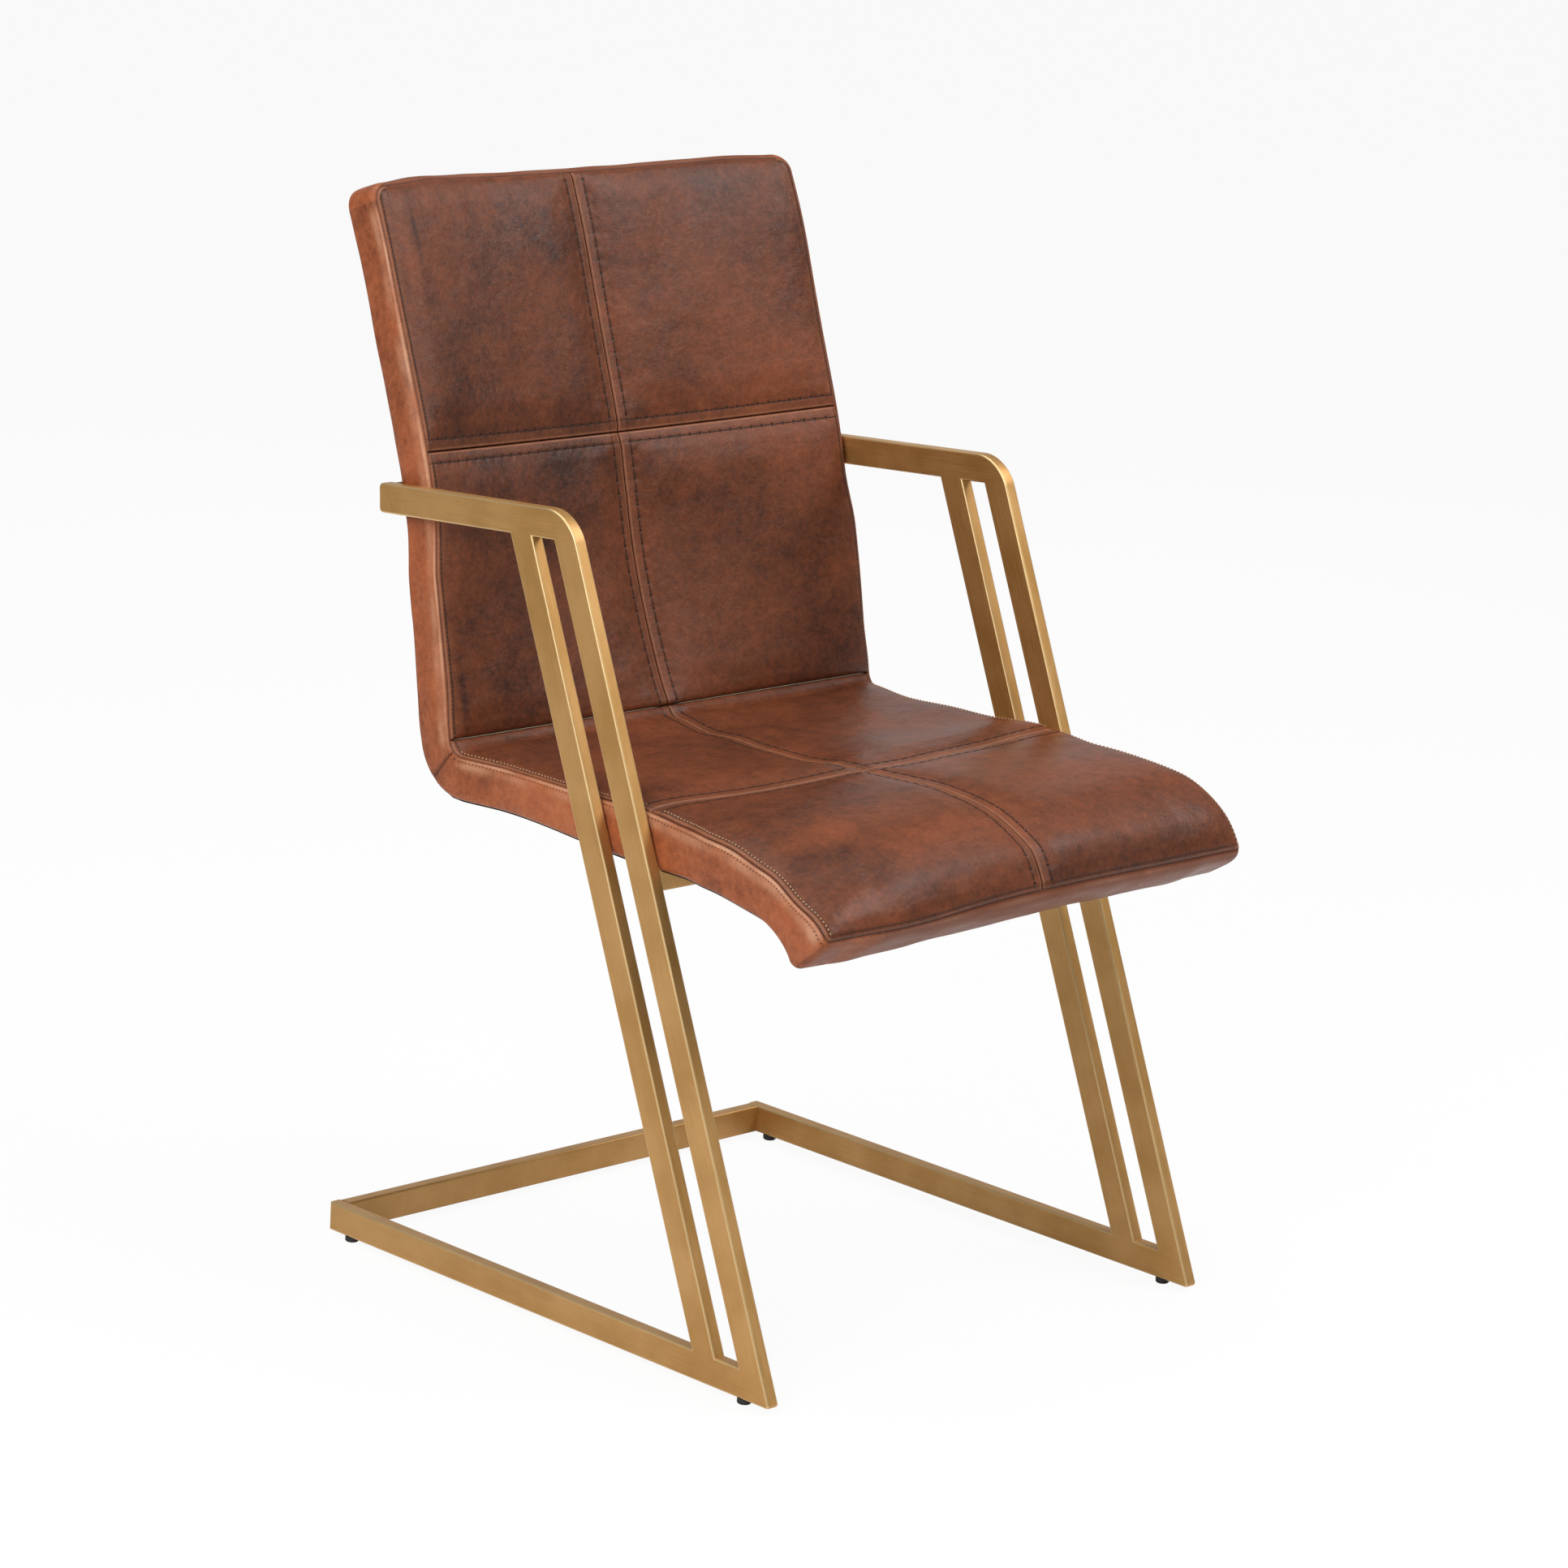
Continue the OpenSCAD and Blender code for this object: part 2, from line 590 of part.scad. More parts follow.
module right_floor_runner() { color(brass) runner(-1); }
module left_floor_runner() { color(brass) runner(1); }
module right_front_upright() { color(brass) upright(-1, 0); }
module left_front_upright() { color(brass) upright(1, 0); }
module right_rear_upright() { color(brass) upright(-1, bar_run + slot_run); }
module left_rear_upright() { color(brass) upright(1, bar_run + slot_run); }
module right_arm() { color(brass) arm(-1); }
module left_arm() { color(brass) arm(1); }
module rear_floor_bar() { color(brass) cross_bar(bar_t / 2, glide_h); }
module under_seat_bar() { color(brass) cross_bar(seat_bar_f, seat_under - bar_d, [-seat_bolt_x, seat_bolt_x]); }
module back_support_bar() { color(brass) support_bar(); }
module floor_glides() { color("#1C1C1C") glides(); }
module plywood_shell() { color(ply_color) plywood(); }
module back_foam() {
  color(foam_color) foam(concat(top_rows, upper_rows, tail(lower_rows)),
    0, s_crease - soft_gap, [[0, s_lumbar], [s_lumbar, s_crease]]);
}
module seat_foam() {
  color(foam_color) foam(concat(seat_rear_ss, tail(cross_rows), fall_rows, nose_rows),
    s_crease, s_end, [[s_crease, s_cross], [s_cross, s_end]]);
}
module back_upper_right_panel() { color(leather_brown) panel(-1, upper_ss, 0, s_lumbar); }
module back_upper_left_panel() { color(leather_brown) panel(1, upper_ss, 0, s_lumbar); }
module back_lower_right_panel() { color(leather_brown) panel(-1, lower_ss, s_lumbar, s_crease); }
module back_lower_left_panel() { color(leather_brown) panel(1, lower_ss, s_lumbar, s_crease); }
module seat_rear_right_panel() { color(leather_brown) panel(-1, seat_rear_ss, s_crease, s_cross); }
module seat_rear_left_panel() { color(leather_brown) panel(1, seat_rear_ss, s_crease, s_cross); }
module seat_front_right_panel() { color(leather_brown) panel(-1, seat_front_ss, s_cross, s_end); }
module seat_front_left_panel() { color(leather_brown) panel(1, seat_front_ss, s_cross, s_end); }
module right_back_boxing() { color(leather_tan) boxing(-1, back_box_ss); }
module left_back_boxing() { color(leather_tan) boxing(1, back_box_ss); }
seat_box_ss = concat([s_mitre, s_mitre + (s_seat - s_mitre) / 2], eased(s_seat, KNOTS[5][0], 5),
  [KNOTS[6][0]], [for (i = [0:6]) KNOTS[7][0] + (s_end - soft_gap - KNOTS[7][0]) * i / 6]);
module right_seat_boxing() { color(leather_tan) boxing(-1, seat_box_ss); }
module left_seat_boxing() { color(leather_tan) boxing(1, seat_box_ss); }
module back_top_band() { color(leather_tan) top_band(); }
module seat_front_band() { color(leather_tan) front_band(); }
module outside_back_cover() { color(cover_color) outside_back(); }
module underside_cover() { color(cover_color) underside(); }
module back_bolts() { color("#2A2A2A") at_back_bolts() bolt(back_bar_t + bar_seat_gap); }
module seat_bolts() { color("#2A2A2A") at_seat_bolts() bolt(bar_d); }
module back_tee_nuts() { color("#B8BBBE") at_back_bolts() tee_nut(); }
module seat_tee_nuts() { color("#B8BBBE") at_seat_bolts() tee_nut(); }

right_floor_runner();
left_floor_runner();
right_front_upright();
left_front_upright();
right_rear_upright();
left_rear_upright();
right_arm();
left_arm();
rear_floor_bar();
under_seat_bar();
back_support_bar();
floor_glides();
plywood_shell();
back_foam();
seat_foam();
back_upper_right_panel();
back_upper_left_panel();
back_lower_right_panel();
back_lower_left_panel();
seat_rear_right_panel();
seat_rear_left_panel();
seat_front_right_panel();
seat_front_left_panel();
right_back_boxing();
left_back_boxing();
right_seat_boxing();
left_seat_boxing();
back_top_band();
seat_front_band();
outside_back_cover();
underside_cover();
back_bolts();
seat_bolts();
back_tee_nuts();
seat_tee_nuts();
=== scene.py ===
"""Accent chair: a leather shell in a frame of brushed brass flat bar."""
import logging
import math
from dataclasses import dataclass, field
from enum import Enum

import bmesh
import bpy
import numpy as np
from mathutils import Matrix, Vector, noise


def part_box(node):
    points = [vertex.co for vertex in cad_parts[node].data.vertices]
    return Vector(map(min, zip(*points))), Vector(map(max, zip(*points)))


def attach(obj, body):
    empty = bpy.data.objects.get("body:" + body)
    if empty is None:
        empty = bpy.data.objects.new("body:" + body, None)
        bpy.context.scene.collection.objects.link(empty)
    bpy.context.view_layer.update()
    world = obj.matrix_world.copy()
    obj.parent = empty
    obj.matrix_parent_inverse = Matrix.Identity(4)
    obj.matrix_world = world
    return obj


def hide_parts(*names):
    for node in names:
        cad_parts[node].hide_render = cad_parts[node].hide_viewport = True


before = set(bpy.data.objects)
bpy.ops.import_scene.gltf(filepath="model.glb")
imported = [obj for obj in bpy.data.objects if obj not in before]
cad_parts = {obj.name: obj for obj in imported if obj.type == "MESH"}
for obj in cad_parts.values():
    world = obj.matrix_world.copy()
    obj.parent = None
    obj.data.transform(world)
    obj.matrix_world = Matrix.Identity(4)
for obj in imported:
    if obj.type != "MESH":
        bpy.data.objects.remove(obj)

LOG = logging.getLogger("accent_chair")
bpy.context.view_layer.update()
MM = 0.001
PER_M = 1000
SIDES = ((-1, "right"), (1, "left"))
# A distance at which no stitch row is felt, in mm and in half needle holes
FAR = 90.0
# Settings of the nodes that the finishes use most
MULTIPLY_ADD = {"operation": "MULTIPLY_ADD"}
COLOUR_MIX = {"data_type": "RGBA"}


# ---------------------------------------------------------------- small helpers


def srgb(code: str) -> tuple[float, float, float, float]:
    """Turns an sRGB hex colour to linear.

    Args:
        code: The colour as "#RRGGBB".

    Returns:
        Linear red, green and blue, with an alpha of 1.
    """
    parts = [int(code[i:i + 2], 16) / 255 for i in (1, 3, 5)]
    linear = [c / 12.92 if c <= 0.04045 else ((c + 0.055) / 1.055) ** 2.4 for c in parts]
    return linear[0], linear[1], linear[2], 1.0


def add_node(
    tree: bpy.types.NodeTree,
    kind: str,
    settings: dict[str, object] | None = None,
    inputs: dict[str | int, object] | None = None,
    stops: tuple[tuple[float, str], ...] = (),
) -> bpy.types.Node:
    """Adds a node with its settings, socket values, links and colour stops.

    Args:
        tree: The node tree.
        kind: The node's type name, less the "ShaderNode" before it.
        settings: Attributes to set on the node.
        inputs: Socket name or index to a value, or to an output socket to link.
        stops: Positions and sRGB hex colours along a colour ramp, in order.

    Returns:
        The new node.
    """
    node = tree.nodes.new(f"ShaderNode{kind}")
    for key, value in (settings or {}).items():
        setattr(node, key, value)
    for key, value in (inputs or {}).items():
        if isinstance(value, bpy.types.NodeSocket):
            tree.links.new(value, node.inputs[key])
        else:
            node.inputs[key].default_value = value
    if stops:
        elements = node.color_ramp.elements
        while len(elements) < len(stops):
            elements.new(0.5)
        for element, (position, colour) in zip(elements, stops):
            element.position = position
            element.color = srgb(colour)
    return node


def fresh_tree(owner: bpy.types.Material | bpy.types.World) -> bpy.types.NodeTree:
    """Turns on the nodes of a material or world and removes those it starts with.

    Args:
        owner: The material or world.

    Returns:
        Its empty node tree.
    """
    owner.use_nodes = True
    owner.node_tree.nodes.clear()
    return owner.node_tree


def smooth(v: np.ndarray) -> np.ndarray:
    """Eases values from 0 to 1, clamped."""
    c = np.clip(v, 0.0, 1.0)
    return c * c * (3 - 2 * c)


def bell(d: np.ndarray, width: float) -> np.ndarray:
    """Gives the height of a bell curve, 1 at d = 0."""
    return np.exp(-((d / width) ** 2))


def ripple(u: np.ndarray, v: np.ndarray | float, layer: float) -> np.ndarray:
    """Gives smooth noise, the same in every run.

    Args:
        u: First coordinates, in waves.
        v: Second coordinates, in waves.
        layer: Third coordinate, which tells one use of the noise from another.

    Returns:
        Values around 0, in the shape of both coordinates together.
    """
    u, v = np.broadcast_arrays(u, v)
    flat = [noise.noise(Vector((a, b, layer))) for a, b in zip(u.ravel(), v.ravel())]
    return np.array(flat).reshape(u.shape)


# ---------------------------------------------------------------- finishes


@dataclass(frozen=True)
class WaxedLeather:
    """Aniline leather, drum dyed, waxed and hand rubbed: cloudy browns, paler along the seams with
    worn dye and a painted sheen.
    """

    name: str
    base: str
    dark: str
    warm: str
    rub_and_sheen: str
    soot: str = "#2B170E"
    roughness: float = 0.38
    cloud_mm: float = 110.0
    mottle_mm: float = 16.0
    crease_mm: float = 15.0
    speckle_mm: float = 5.0
    grain_mm: float = 4.5
    pore_mm: float = 1.5

    def build(self) -> bpy.types.Material:
        """Makes the material.

        Returns:
            The node material.
        """
        material = bpy.data.materials.new(self.name)
        tree = fresh_tree(material)
        coord = add_node(tree, "TexCoord").outputs["Object"]
        tint, wear_and_sheen, grime = (
            add_node(tree, "Attribute", {"attribute_name": key}).outputs["Fac"]
            for key in ("tint", "wear_and_sheen", "grime"))
        # Clouds of dye, a hand's breadth across
        cloud = add_node(tree, "TexNoise", inputs={
            "Vector": coord, "Scale": PER_M / self.cloud_mm,
            "Detail": 3.0, "Roughness": 0.5, "Distortion": 0.3}).outputs["Fac"]
        # Sponge marks of the dye, and its speckles
        drawn = add_node(tree, "Mapping", inputs={
            "Vector": coord, "Scale": (0.8, 1.0, 0.9)}).outputs[0]
        streak = add_node(tree, "TexNoise", inputs={
            "Vector": drawn, "Scale": PER_M / self.mottle_mm,
            "Detail": 7.0, "Roughness": 0.72}).outputs["Fac"]
        speckle = add_node(tree, "TexNoise", inputs={
            "Vector": coord, "Scale": PER_M / self.speckle_mm,
            "Detail": 4.0, "Roughness": 0.65}).outputs["Fac"]
        # The tint says where the hide took less or more dye, and where a few spots paint highlight
        # and shade; the patterns add to it
        tone = tint
        for pattern, share in ((cloud, 0.5), (speckle, 0.42), (streak, 0.5)):
            tone = add_node(tree, "Math", MULTIPLY_ADD, {
                0: pattern, 1: share, 2: tone}).outputs[0]
        color = add_node(tree, "ValToRGB", inputs={"Fac": tone}, stops=(
            (0.48, self.dark), (0.72, self.base), (0.96, self.warm))).outputs["Color"]
        # Worn dye and a painted sheen along the seams, broken up by the sponge marks
        breakup = add_node(tree, "Math", MULTIPLY_ADD | {"use_clamp": True}, {
            0: streak, 1: 0.9, 2: 0.45})
        worn_and_sheen = add_node(tree, "Math", {"operation": "MULTIPLY", "use_clamp": True}, {
            0: wear_and_sheen, 1: breakup.outputs[0]}).outputs[0]
        # Worn dye with its painted sheen first, then the dirt along the stitch rows, then the
        # needle's holes
        holes = self.needle_holes(tree)
        for share, colour in ((worn_and_sheen, self.rub_and_sheen), (grime, self.soot), (holes, self.soot)):
            color = add_node(tree, "Mix", COLOUR_MIX, {
                "Factor": share, "A": color, "B": srgb(colour)}).outputs["Result"]
        # Pores hold the darkest dye
        pores = add_node(tree, "TexVoronoi", {"feature": "DISTANCE_TO_EDGE"}, {
            "Vector": coord, "Scale": PER_M / self.pore_mm, "Randomness": 0.95}).outputs["Distance"]
        pored = add_node(tree, "MapRange", inputs={
            "Value": pores, "From Min": 0.02, "From Max": 0.2, "To Min": 0.8, "To Max": 1.0})
        color = add_node(tree, "Mix", COLOUR_MIX | {"blend_type": "MULTIPLY"}, {
            "Factor": 1.0, "A": color, "B": pored.outputs[0]}).outputs["Result"]
        # Relief of pores, grain and needle holes, a few tenths of a millimetre deep
        grain = add_node(tree, "TexNoise", inputs={
            "Vector": coord, "Scale": PER_M / self.grain_mm,
            "Detail": 5.0, "Roughness": 0.6}).outputs["Fac"]
        height = add_node(tree, "Math", {"operation": "MINIMUM"}, {0: pores, 1: 0.16}).outputs[0]
        for pattern, share in ((grain, 0.9), (holes, -1.6)):
            height = add_node(tree, "Math", MULTIPLY_ADD, {
                0: pattern, 1: share, 2: height}).outputs[0]
        relief = add_node(tree, "Bump", inputs={
            "Height": height, "Strength": 0.5, "Distance": 0.7 * MM})
        # Soft creases of the hide
        creases = add_node(tree, "TexNoise", inputs={
            "Vector": drawn, "Scale": PER_M / self.crease_mm, "Detail": 5.0, "Roughness": 0.6})
        creased = add_node(tree, "Bump", inputs={
            "Height": creases.outputs["Fac"], "Strength": 0.3, "Distance": 3.0 * MM,
            "Normal": relief.outputs[0]})
        # Wax lies thicker in some clouds, which shine a little more
        rough = add_node(tree, "MapRange", inputs={
            "Value": cloud, "From Min": 0.3, "From Max": 0.7,
            "To Min": self.roughness - 0.06, "To Max": self.roughness + 0.08})
        shader = add_node(tree, "BsdfPrincipled", inputs={
            "Base Color": color, "Roughness": rough.outputs[0], "IOR": 1.46,
            "Specular IOR Level": 0.29, "Normal": creased.outputs[0]})
        add_node(tree, "OutputMaterial", inputs={"Surface": shader.outputs[0]})
        return material

    def needle_holes(self, tree: bpy.types.NodeTree) -> bpy.types.NodeSocket:
        """Adds the needle's holes along the stitch rows.

        Args:
            tree: The node tree.

        Returns:
            A socket that is 1 in a hole.
        """
        marks = []
        for family in ("cross", "long"):
            row, run = (
                add_node(tree, "Attribute", {"attribute_name": f"{family}_{key}"}).outputs["Fac"]
                for key in ("row", "run"))
            # A hole stands at each end of a stitch, 0.13 of a stitch long
            near = add_node(tree, "Math", {"operation": "PINGPONG"}, {0: run, 1: 0.5})
            along = add_node(tree, "Math", {"operation": "DIVIDE"}, {0: near.outputs[0], 1: 0.13})
            place = add_node(tree, "CombineXYZ", inputs={0: row, 1: along.outputs[0]})
            away = add_node(tree, "VectorMath", {"operation": "LENGTH"}, {0: place.outputs[0]})
            mark = add_node(tree, "MapRange", {"interpolation_type": "SMOOTHSTEP"}, {
                "Value": away.outputs["Value"], "From Min": 0.7, "From Max": 1.25,
                "To Min": 1.0, "To Max": 0.0})
            marks.append(mark.outputs[0])
        return add_node(tree, "Math", {"operation": "MAXIMUM"}, dict(enumerate(marks))).outputs[0]


@dataclass(frozen=True)
class BrushedBrass:
    """Brass, belt-brushed along each bar and lacquered: a satin glow, fine lines, faint tarnish."""

    name: str = "brushed_brass"
    base: str = "#C99C60"
    tarnish: str = "#B7894A"
    edge_highlight: str = "#EBD09C"
    roughness: float = 0.5
    line_mm: float = 1.1
    cloud_mm: float = 60.0
    # Turn of the belt marks in degrees, and the height in metres above which it holds:
    # level on the floor, leaning up the uprights, level again on the arms
    belts: tuple[tuple[float, float], ...] = ((0.0, 0.0), (112.7, 0.030), (4.1, 0.655))

    def build(self) -> bpy.types.Material:
        """Makes the material.

        Returns:
            The node material.
        """
        material = bpy.data.materials.new(self.name)
        tree = fresh_tree(material)
        coord = add_node(tree, "TexCoord").outputs["Object"]
        height = add_node(tree, "SeparateXYZ", inputs={0: coord}).outputs["Z"]
        # Belt marks, fifty times as long as wide
        lines = None
        for turn, above in self.belts:
            along = add_node(tree, "Mapping", inputs={
                "Vector": coord, "Rotation": (math.radians(turn), 0.0, 0.0)})
            drawn = add_node(tree, "Mapping", inputs={
                "Vector": along.outputs[0], "Scale": (1.0, 0.02, 1.0)})
            marks = add_node(tree, "TexNoise", inputs={
                "Vector": drawn.outputs[0], "Scale": PER_M / self.line_mm,
                "Detail": 3.0, "Roughness": 0.6}).outputs["Fac"]
            if lines is None:
                lines = marks
                continue
            here = add_node(tree, "Math", {"operation": "GREATER_THAN"}, {0: height, 1: above})
            lines = add_node(tree, "Mix", inputs={
                "Factor": here.outputs[0], "A": lines, "B": marks}).outputs["Result"]
        # Cloudy tarnish under the lacquer
        cloud = add_node(tree, "TexNoise", inputs={
            "Vector": coord, "Scale": PER_M / self.cloud_mm, "Detail": 3.0, "Roughness": 0.55})
        tone = add_node(tree, "Math", MULTIPLY_ADD, {
            0: lines, 1: 0.7, 2: cloud.outputs["Fac"]})
        color = add_node(tree, "ValToRGB", inputs={"Fac": tone.outputs[0]}, stops=(
            (0.68, self.tarnish), (1.02, self.base)))
        # Painted highlight: the rounded edges' strips are mixed towards a pale colour, as if they
        # caught the light
        rim = add_node(tree, "Attribute", {"attribute_name": "rim"}).outputs["Fac"]
        edge_highlight_share = add_node(tree, "Math", {"operation": "MULTIPLY"}, {0: rim, 1: 0.6})
        shown = add_node(tree, "Mix", COLOUR_MIX, {
            "Factor": edge_highlight_share.outputs[0], "A": color.outputs["Color"], "B": srgb(self.edge_highlight)})
        bump = add_node(tree, "Bump", inputs={
            "Height": lines, "Strength": 0.08, "Distance": 0.3 * MM})
        rough = add_node(tree, "MapRange", inputs={
            "Value": lines, "From Min": 0.3, "From Max": 0.7,
            "To Min": self.roughness - 0.06, "To Max": self.roughness + 0.06})
        polished = add_node(tree, "Math", MULTIPLY_ADD, {
            0: rim, 1: -0.12, 2: rough.outputs[0]})
        shader = add_node(tree, "BsdfPrincipled", inputs={
            "Base Color": shown.outputs["Result"], "Metallic": 0.8,
            "Roughness": polished.outputs[0], "Normal": bump.outputs[0],
            "Coat Weight": 0.3, "Coat Roughness": 0.36})
        add_node(tree, "OutputMaterial", inputs={"Surface": shader.outputs[0]})
        return material


@dataclass(frozen=True)
class PlainFinish:
    """A finish of one colour with a little unevenness in tone and surface."""

    name: str
    base: str
    second: str
    grain_mm: float
    roughness: float
    metallic: float = 0.0
    relief_mm: float = 0.05
    stretch: tuple[float, float, float] = (1.0, 1.0, 1.0)

    def build(self) -> bpy.types.Material:
        """Makes the material.

        Returns:
            The node material.
        """
        material = bpy.data.materials.new(self.name)
        tree = fresh_tree(material)
        coord = add_node(tree, "TexCoord").outputs["Object"]
        mapped = add_node(tree, "Mapping", inputs={"Vector": coord, "Scale": self.stretch})
        grain = add_node(tree, "TexNoise", inputs={
            "Vector": mapped.outputs[0], "Scale": PER_M / self.grain_mm,
            "Detail": 4.0, "Roughness": 0.6}).outputs["Fac"]
        color = add_node(tree, "ValToRGB", inputs={"Fac": grain}, stops=(
            (0.35, self.second), (0.65, self.base)))
        bump = add_node(tree, "Bump", inputs={
            "Height": grain, "Strength": 0.5, "Distance": self.relief_mm * MM})
        shader = add_node(tree, "BsdfPrincipled", inputs={
            "Base Color": color.outputs["Color"], "Metallic": self.metallic,
            "Roughness": self.roughness, "Normal": bump.outputs[0]})
        add_node(tree, "OutputMaterial", inputs={"Surface": shader.outputs[0]})
        return material


@dataclass
class Finishes:
    """All the chair's materials, made once."""

    # Each rub colour is the worn dye and also a painted sheen along the seams and edges
    panel: bpy.types.Material = field(default_factory=WaxedLeather(
        "panel_leather", base="#6A371E", dark="#3D2016", warm="#884728", rub_and_sheen="#A0684A").build)
    # The boxings took less dye, in smaller clouds; their pale pink rub colour paints a highlight
    # along the edges as well as the worn dye
    boxing: bpy.types.Material = field(default_factory=WaxedLeather(
        "boxing_leather", base="#A45A36", dark="#743C22", warm="#BC6E42", rub_and_sheen="#CF9C7C",
        cloud_mm=70.0).build)
    back: bpy.types.Material = field(default_factory=WaxedLeather(
        "back_leather", base="#6A3722", dark="#4A2A1E", warm="#7F4429", rub_and_sheen="#9A5230").build)
    brass: bpy.types.Material = field(default_factory=BrushedBrass().build)
    # Waxed thread, matt and dark brown
    dark_thread: bpy.types.Material = field(default_factory=PlainFinish(
        "dark_thread", "#3D2214", "#27150C", grain_mm=0.8, roughness=0.85).build)
    # The same thread in tan, a little glossier
    tan_thread: bpy.types.Material = field(default_factory=PlainFinish(
        "tan_thread", "#C9A27E", "#9C7050", grain_mm=0.8, roughness=0.6).build)
    # Spun-bonded cloth, matt and black
    black_cloth: bpy.types.Material = field(default_factory=PlainFinish(
        "black_spunbond", "#222222", "#141414", grain_mm=1.2, roughness=0.9,
        relief_mm=0.2).build)
    # Cut polyurethane foam, open-celled and cream
    foam: bpy.types.Material = field(default_factory=PlainFinish(
        "foam", "#E8DFC8", "#D9CDB0", grain_mm=1.5, roughness=0.95,
        relief_mm=0.3).build)
    # Moulded birch plywood, with its grain across the chair
    plywood: bpy.types.Material = field(default_factory=PlainFinish(
        "birch_ply", "#CBA878", "#B48F60", grain_mm=9.0, roughness=0.6,
        stretch=(0.15, 1.0, 1.0)).build)
    # Blackened steel of the bolts, dull, and zinc-plated steel of the tee nuts, bright
    black_steel: bpy.types.Material = field(default_factory=PlainFinish(
        "blackened_steel", "#2B2B2B", "#1E1E1E", grain_mm=2.0, roughness=0.45,
        metallic=0.6).build)
    zinc: bpy.types.Material = field(default_factory=PlainFinish(
        "zinc_plate", "#C3C5C8", "#A9ACB0", grain_mm=2.0, roughness=0.35,
        metallic=1.0).build)
    # Moulded nylon, black and a little glossy
    glide: bpy.types.Material = field(default_factory=PlainFinish(
        "glide_nylon", "#262626", "#1A1A1A", grain_mm=2.0, roughness=0.55).build)


# ---------------------------------------------------------------- the shell's form


@dataclass(frozen=True)
class Spot:
    """A soft-edged spot of the face in (s, x), with its half sizes and the amount of change."""

    s: float
    x: float
    ds: float
    dx: float
    amount: float

    def weigh(self, s: np.ndarray, x: np.ndarray) -> np.ndarray:
        """Works out the spot's share at places of the face.

        Args:
            s: Distances along the side line.
            x: Distances across the chair.

        Returns:
            The amount, fading away from the spot's middle.
        """
        return self.amount * bell(s - self.s, self.ds) * bell(x - self.x, self.dx)


# Where the hide took less (more than 0) or more dye, and a few spots of painted light: a painted
# highlight on a fold's ridge near the top, painted shade in its groove and in the crease's folds,
# painted shade below the lumbar seam and a painted sheen by the near nose
TINTS = (
    Spot(60, -40, 70, 26, -0.05), Spot(20, -150, 30, 90, 0.05), Spot(130, -130, 130, 110, -0.06),
    Spot(20, 140, 22, 70, -0.07), Spot(60, 190, 30, 60, -0.04), Spot(130, 110, 50, 90, 0.04),
    Spot(200, 170, 30, 70, -0.03), Spot(350, -130, 110, 110, -0.11), Spot(430, -200, 50, 50, -0.05),
    Spot(440, 170, 34, 60, -0.04), Spot(360, 90, 80, 80, -0.04), Spot(560, -140, 60, 70, 0.07),
    Spot(600, 200, 60, 50, 0.06), Spot(790, -30, 14, 90, -0.06), Spot(830, -150, 18, 80, 0.11),
    Spot(862, -185, 14, 42, -0.13), Spot(868, -80, 14, 60, 0.09), Spot(905, -100, 12, 40, -0.12),
    Spot(800, 120, 34, 70, 0.08), Spot(850, 190, 30, 50, 0.03), Spot(925, 60, 18, 160, -0.08),
    # Spot(430, -230) paints shade in the crease's folds, Spot(50, -220) paints a highlight on a
    # fold's ridge
    Spot(932, -150, 10, 80, 0.06), Spot(430, -230, 34, 4, -0.2), Spot(50, -220, 45, 8, 0.1),
    # Spot(52, -206.5) paints shade in that fold's groove
    Spot(52, -206.5, 30, 2.5, -0.18), Spot(40, -150, 60, 60, -0.03), Spot(720, 0, 12, 14, 0.08),
    # Spot(250, -75) paints shade below the lumbar seam, and Spot(915, -195) paints a sheen by the
    # near nose
    Spot(250, -75, 16, 60, -0.09), Spot(915, -195, 20, 36, 0.09),
)

# Where the filling has settled (less than 0) or was stuffed fuller, in mm
SETTLED = (
    Spot(878, -241, 36, 110, -8.0), Spot(690, 241, 60, 80, 8.0), Spot(850, 241, 75, 90, 8.5),
    Spot(575, 0, 55, 110, 6.5), Spot(706, -140, 50, 80, -0.5), Spot(60, 241, 80, 60, 4.6),
    Spot(370, 241, 100, 60, 4.6), Spot(55, 0, 40, 400, 1.2), Spot(200, 0, 40, 400, -0.9),
    Spot(706, 0, 60, 60, 2.0), Spot(832, -241, 26, 90, -3.0), Spot(912, 20, 30, 110, 4.0),
    Spot(590, 241, 40, 60, 3.0), Spot(0, 140, 30, 50, -1.2), Spot(915, 241, 30, 60, 3.5),
    Spot(712, -241, 24, 55, -1.1), Spot(745, -241, 24, 55, -2.6), Spot(785, -241, 24, 55, -2.2),
    Spot(843, -241, 30, 55, -0.9), Spot(895, -241, 24, 55, -3.7), Spot(925, -241, 24, 55, 0.7),
    Spot(490, 0, 28, 60, 4.5), Spot(550, 0, 28, 60, 3.3), Spot(610, 0, 28, 60, 1.4),
    Spot(750, 0, 28, 60, 1.1), Spot(790, 0, 28, 60, 2.5), Spot(825, 0, 28, 60, 2.3),
    Spot(890, 0, 28, 60, -3.1), Spot(920, 0, 28, 60, -1.9), Spot(706, -215, 40, 45, 4.6),
    Spot(706, -150, 40, 45, 1.7), Spot(706, -75, 40, 45, 1.1), Spot(706, 0, 40, 45, 1.5),
    Spot(706, 95, 40, 45, 3.0), Spot(706, 160, 40, 45, 2.1), Spot(706, 220, 40, 45, 0.9),
    Spot(925, 75, 25, 50, 1.4), Spot(925, 150, 25, 50, 1.1), Spot(262, -60, 24, 60, -2.6),
)

# How the right side's boxing bulges and hollows: distances along the side line, and mm at each
BULGES = (
    (15, 55, 108, 160, 212, 265, 318, 370, 422, 475, 510),
    (0.0, -2.2, -0.4, 1.3, 2.3, 0.0, -2.6, -2.2, 1.8, -1.5, 0.0),
)

# Where the boxings took less or more dye: distances along the side line, and amounts
BOXING_TINTS = ((560.0, 0.07), (410.0, -0.06), (20.0, -0.12))


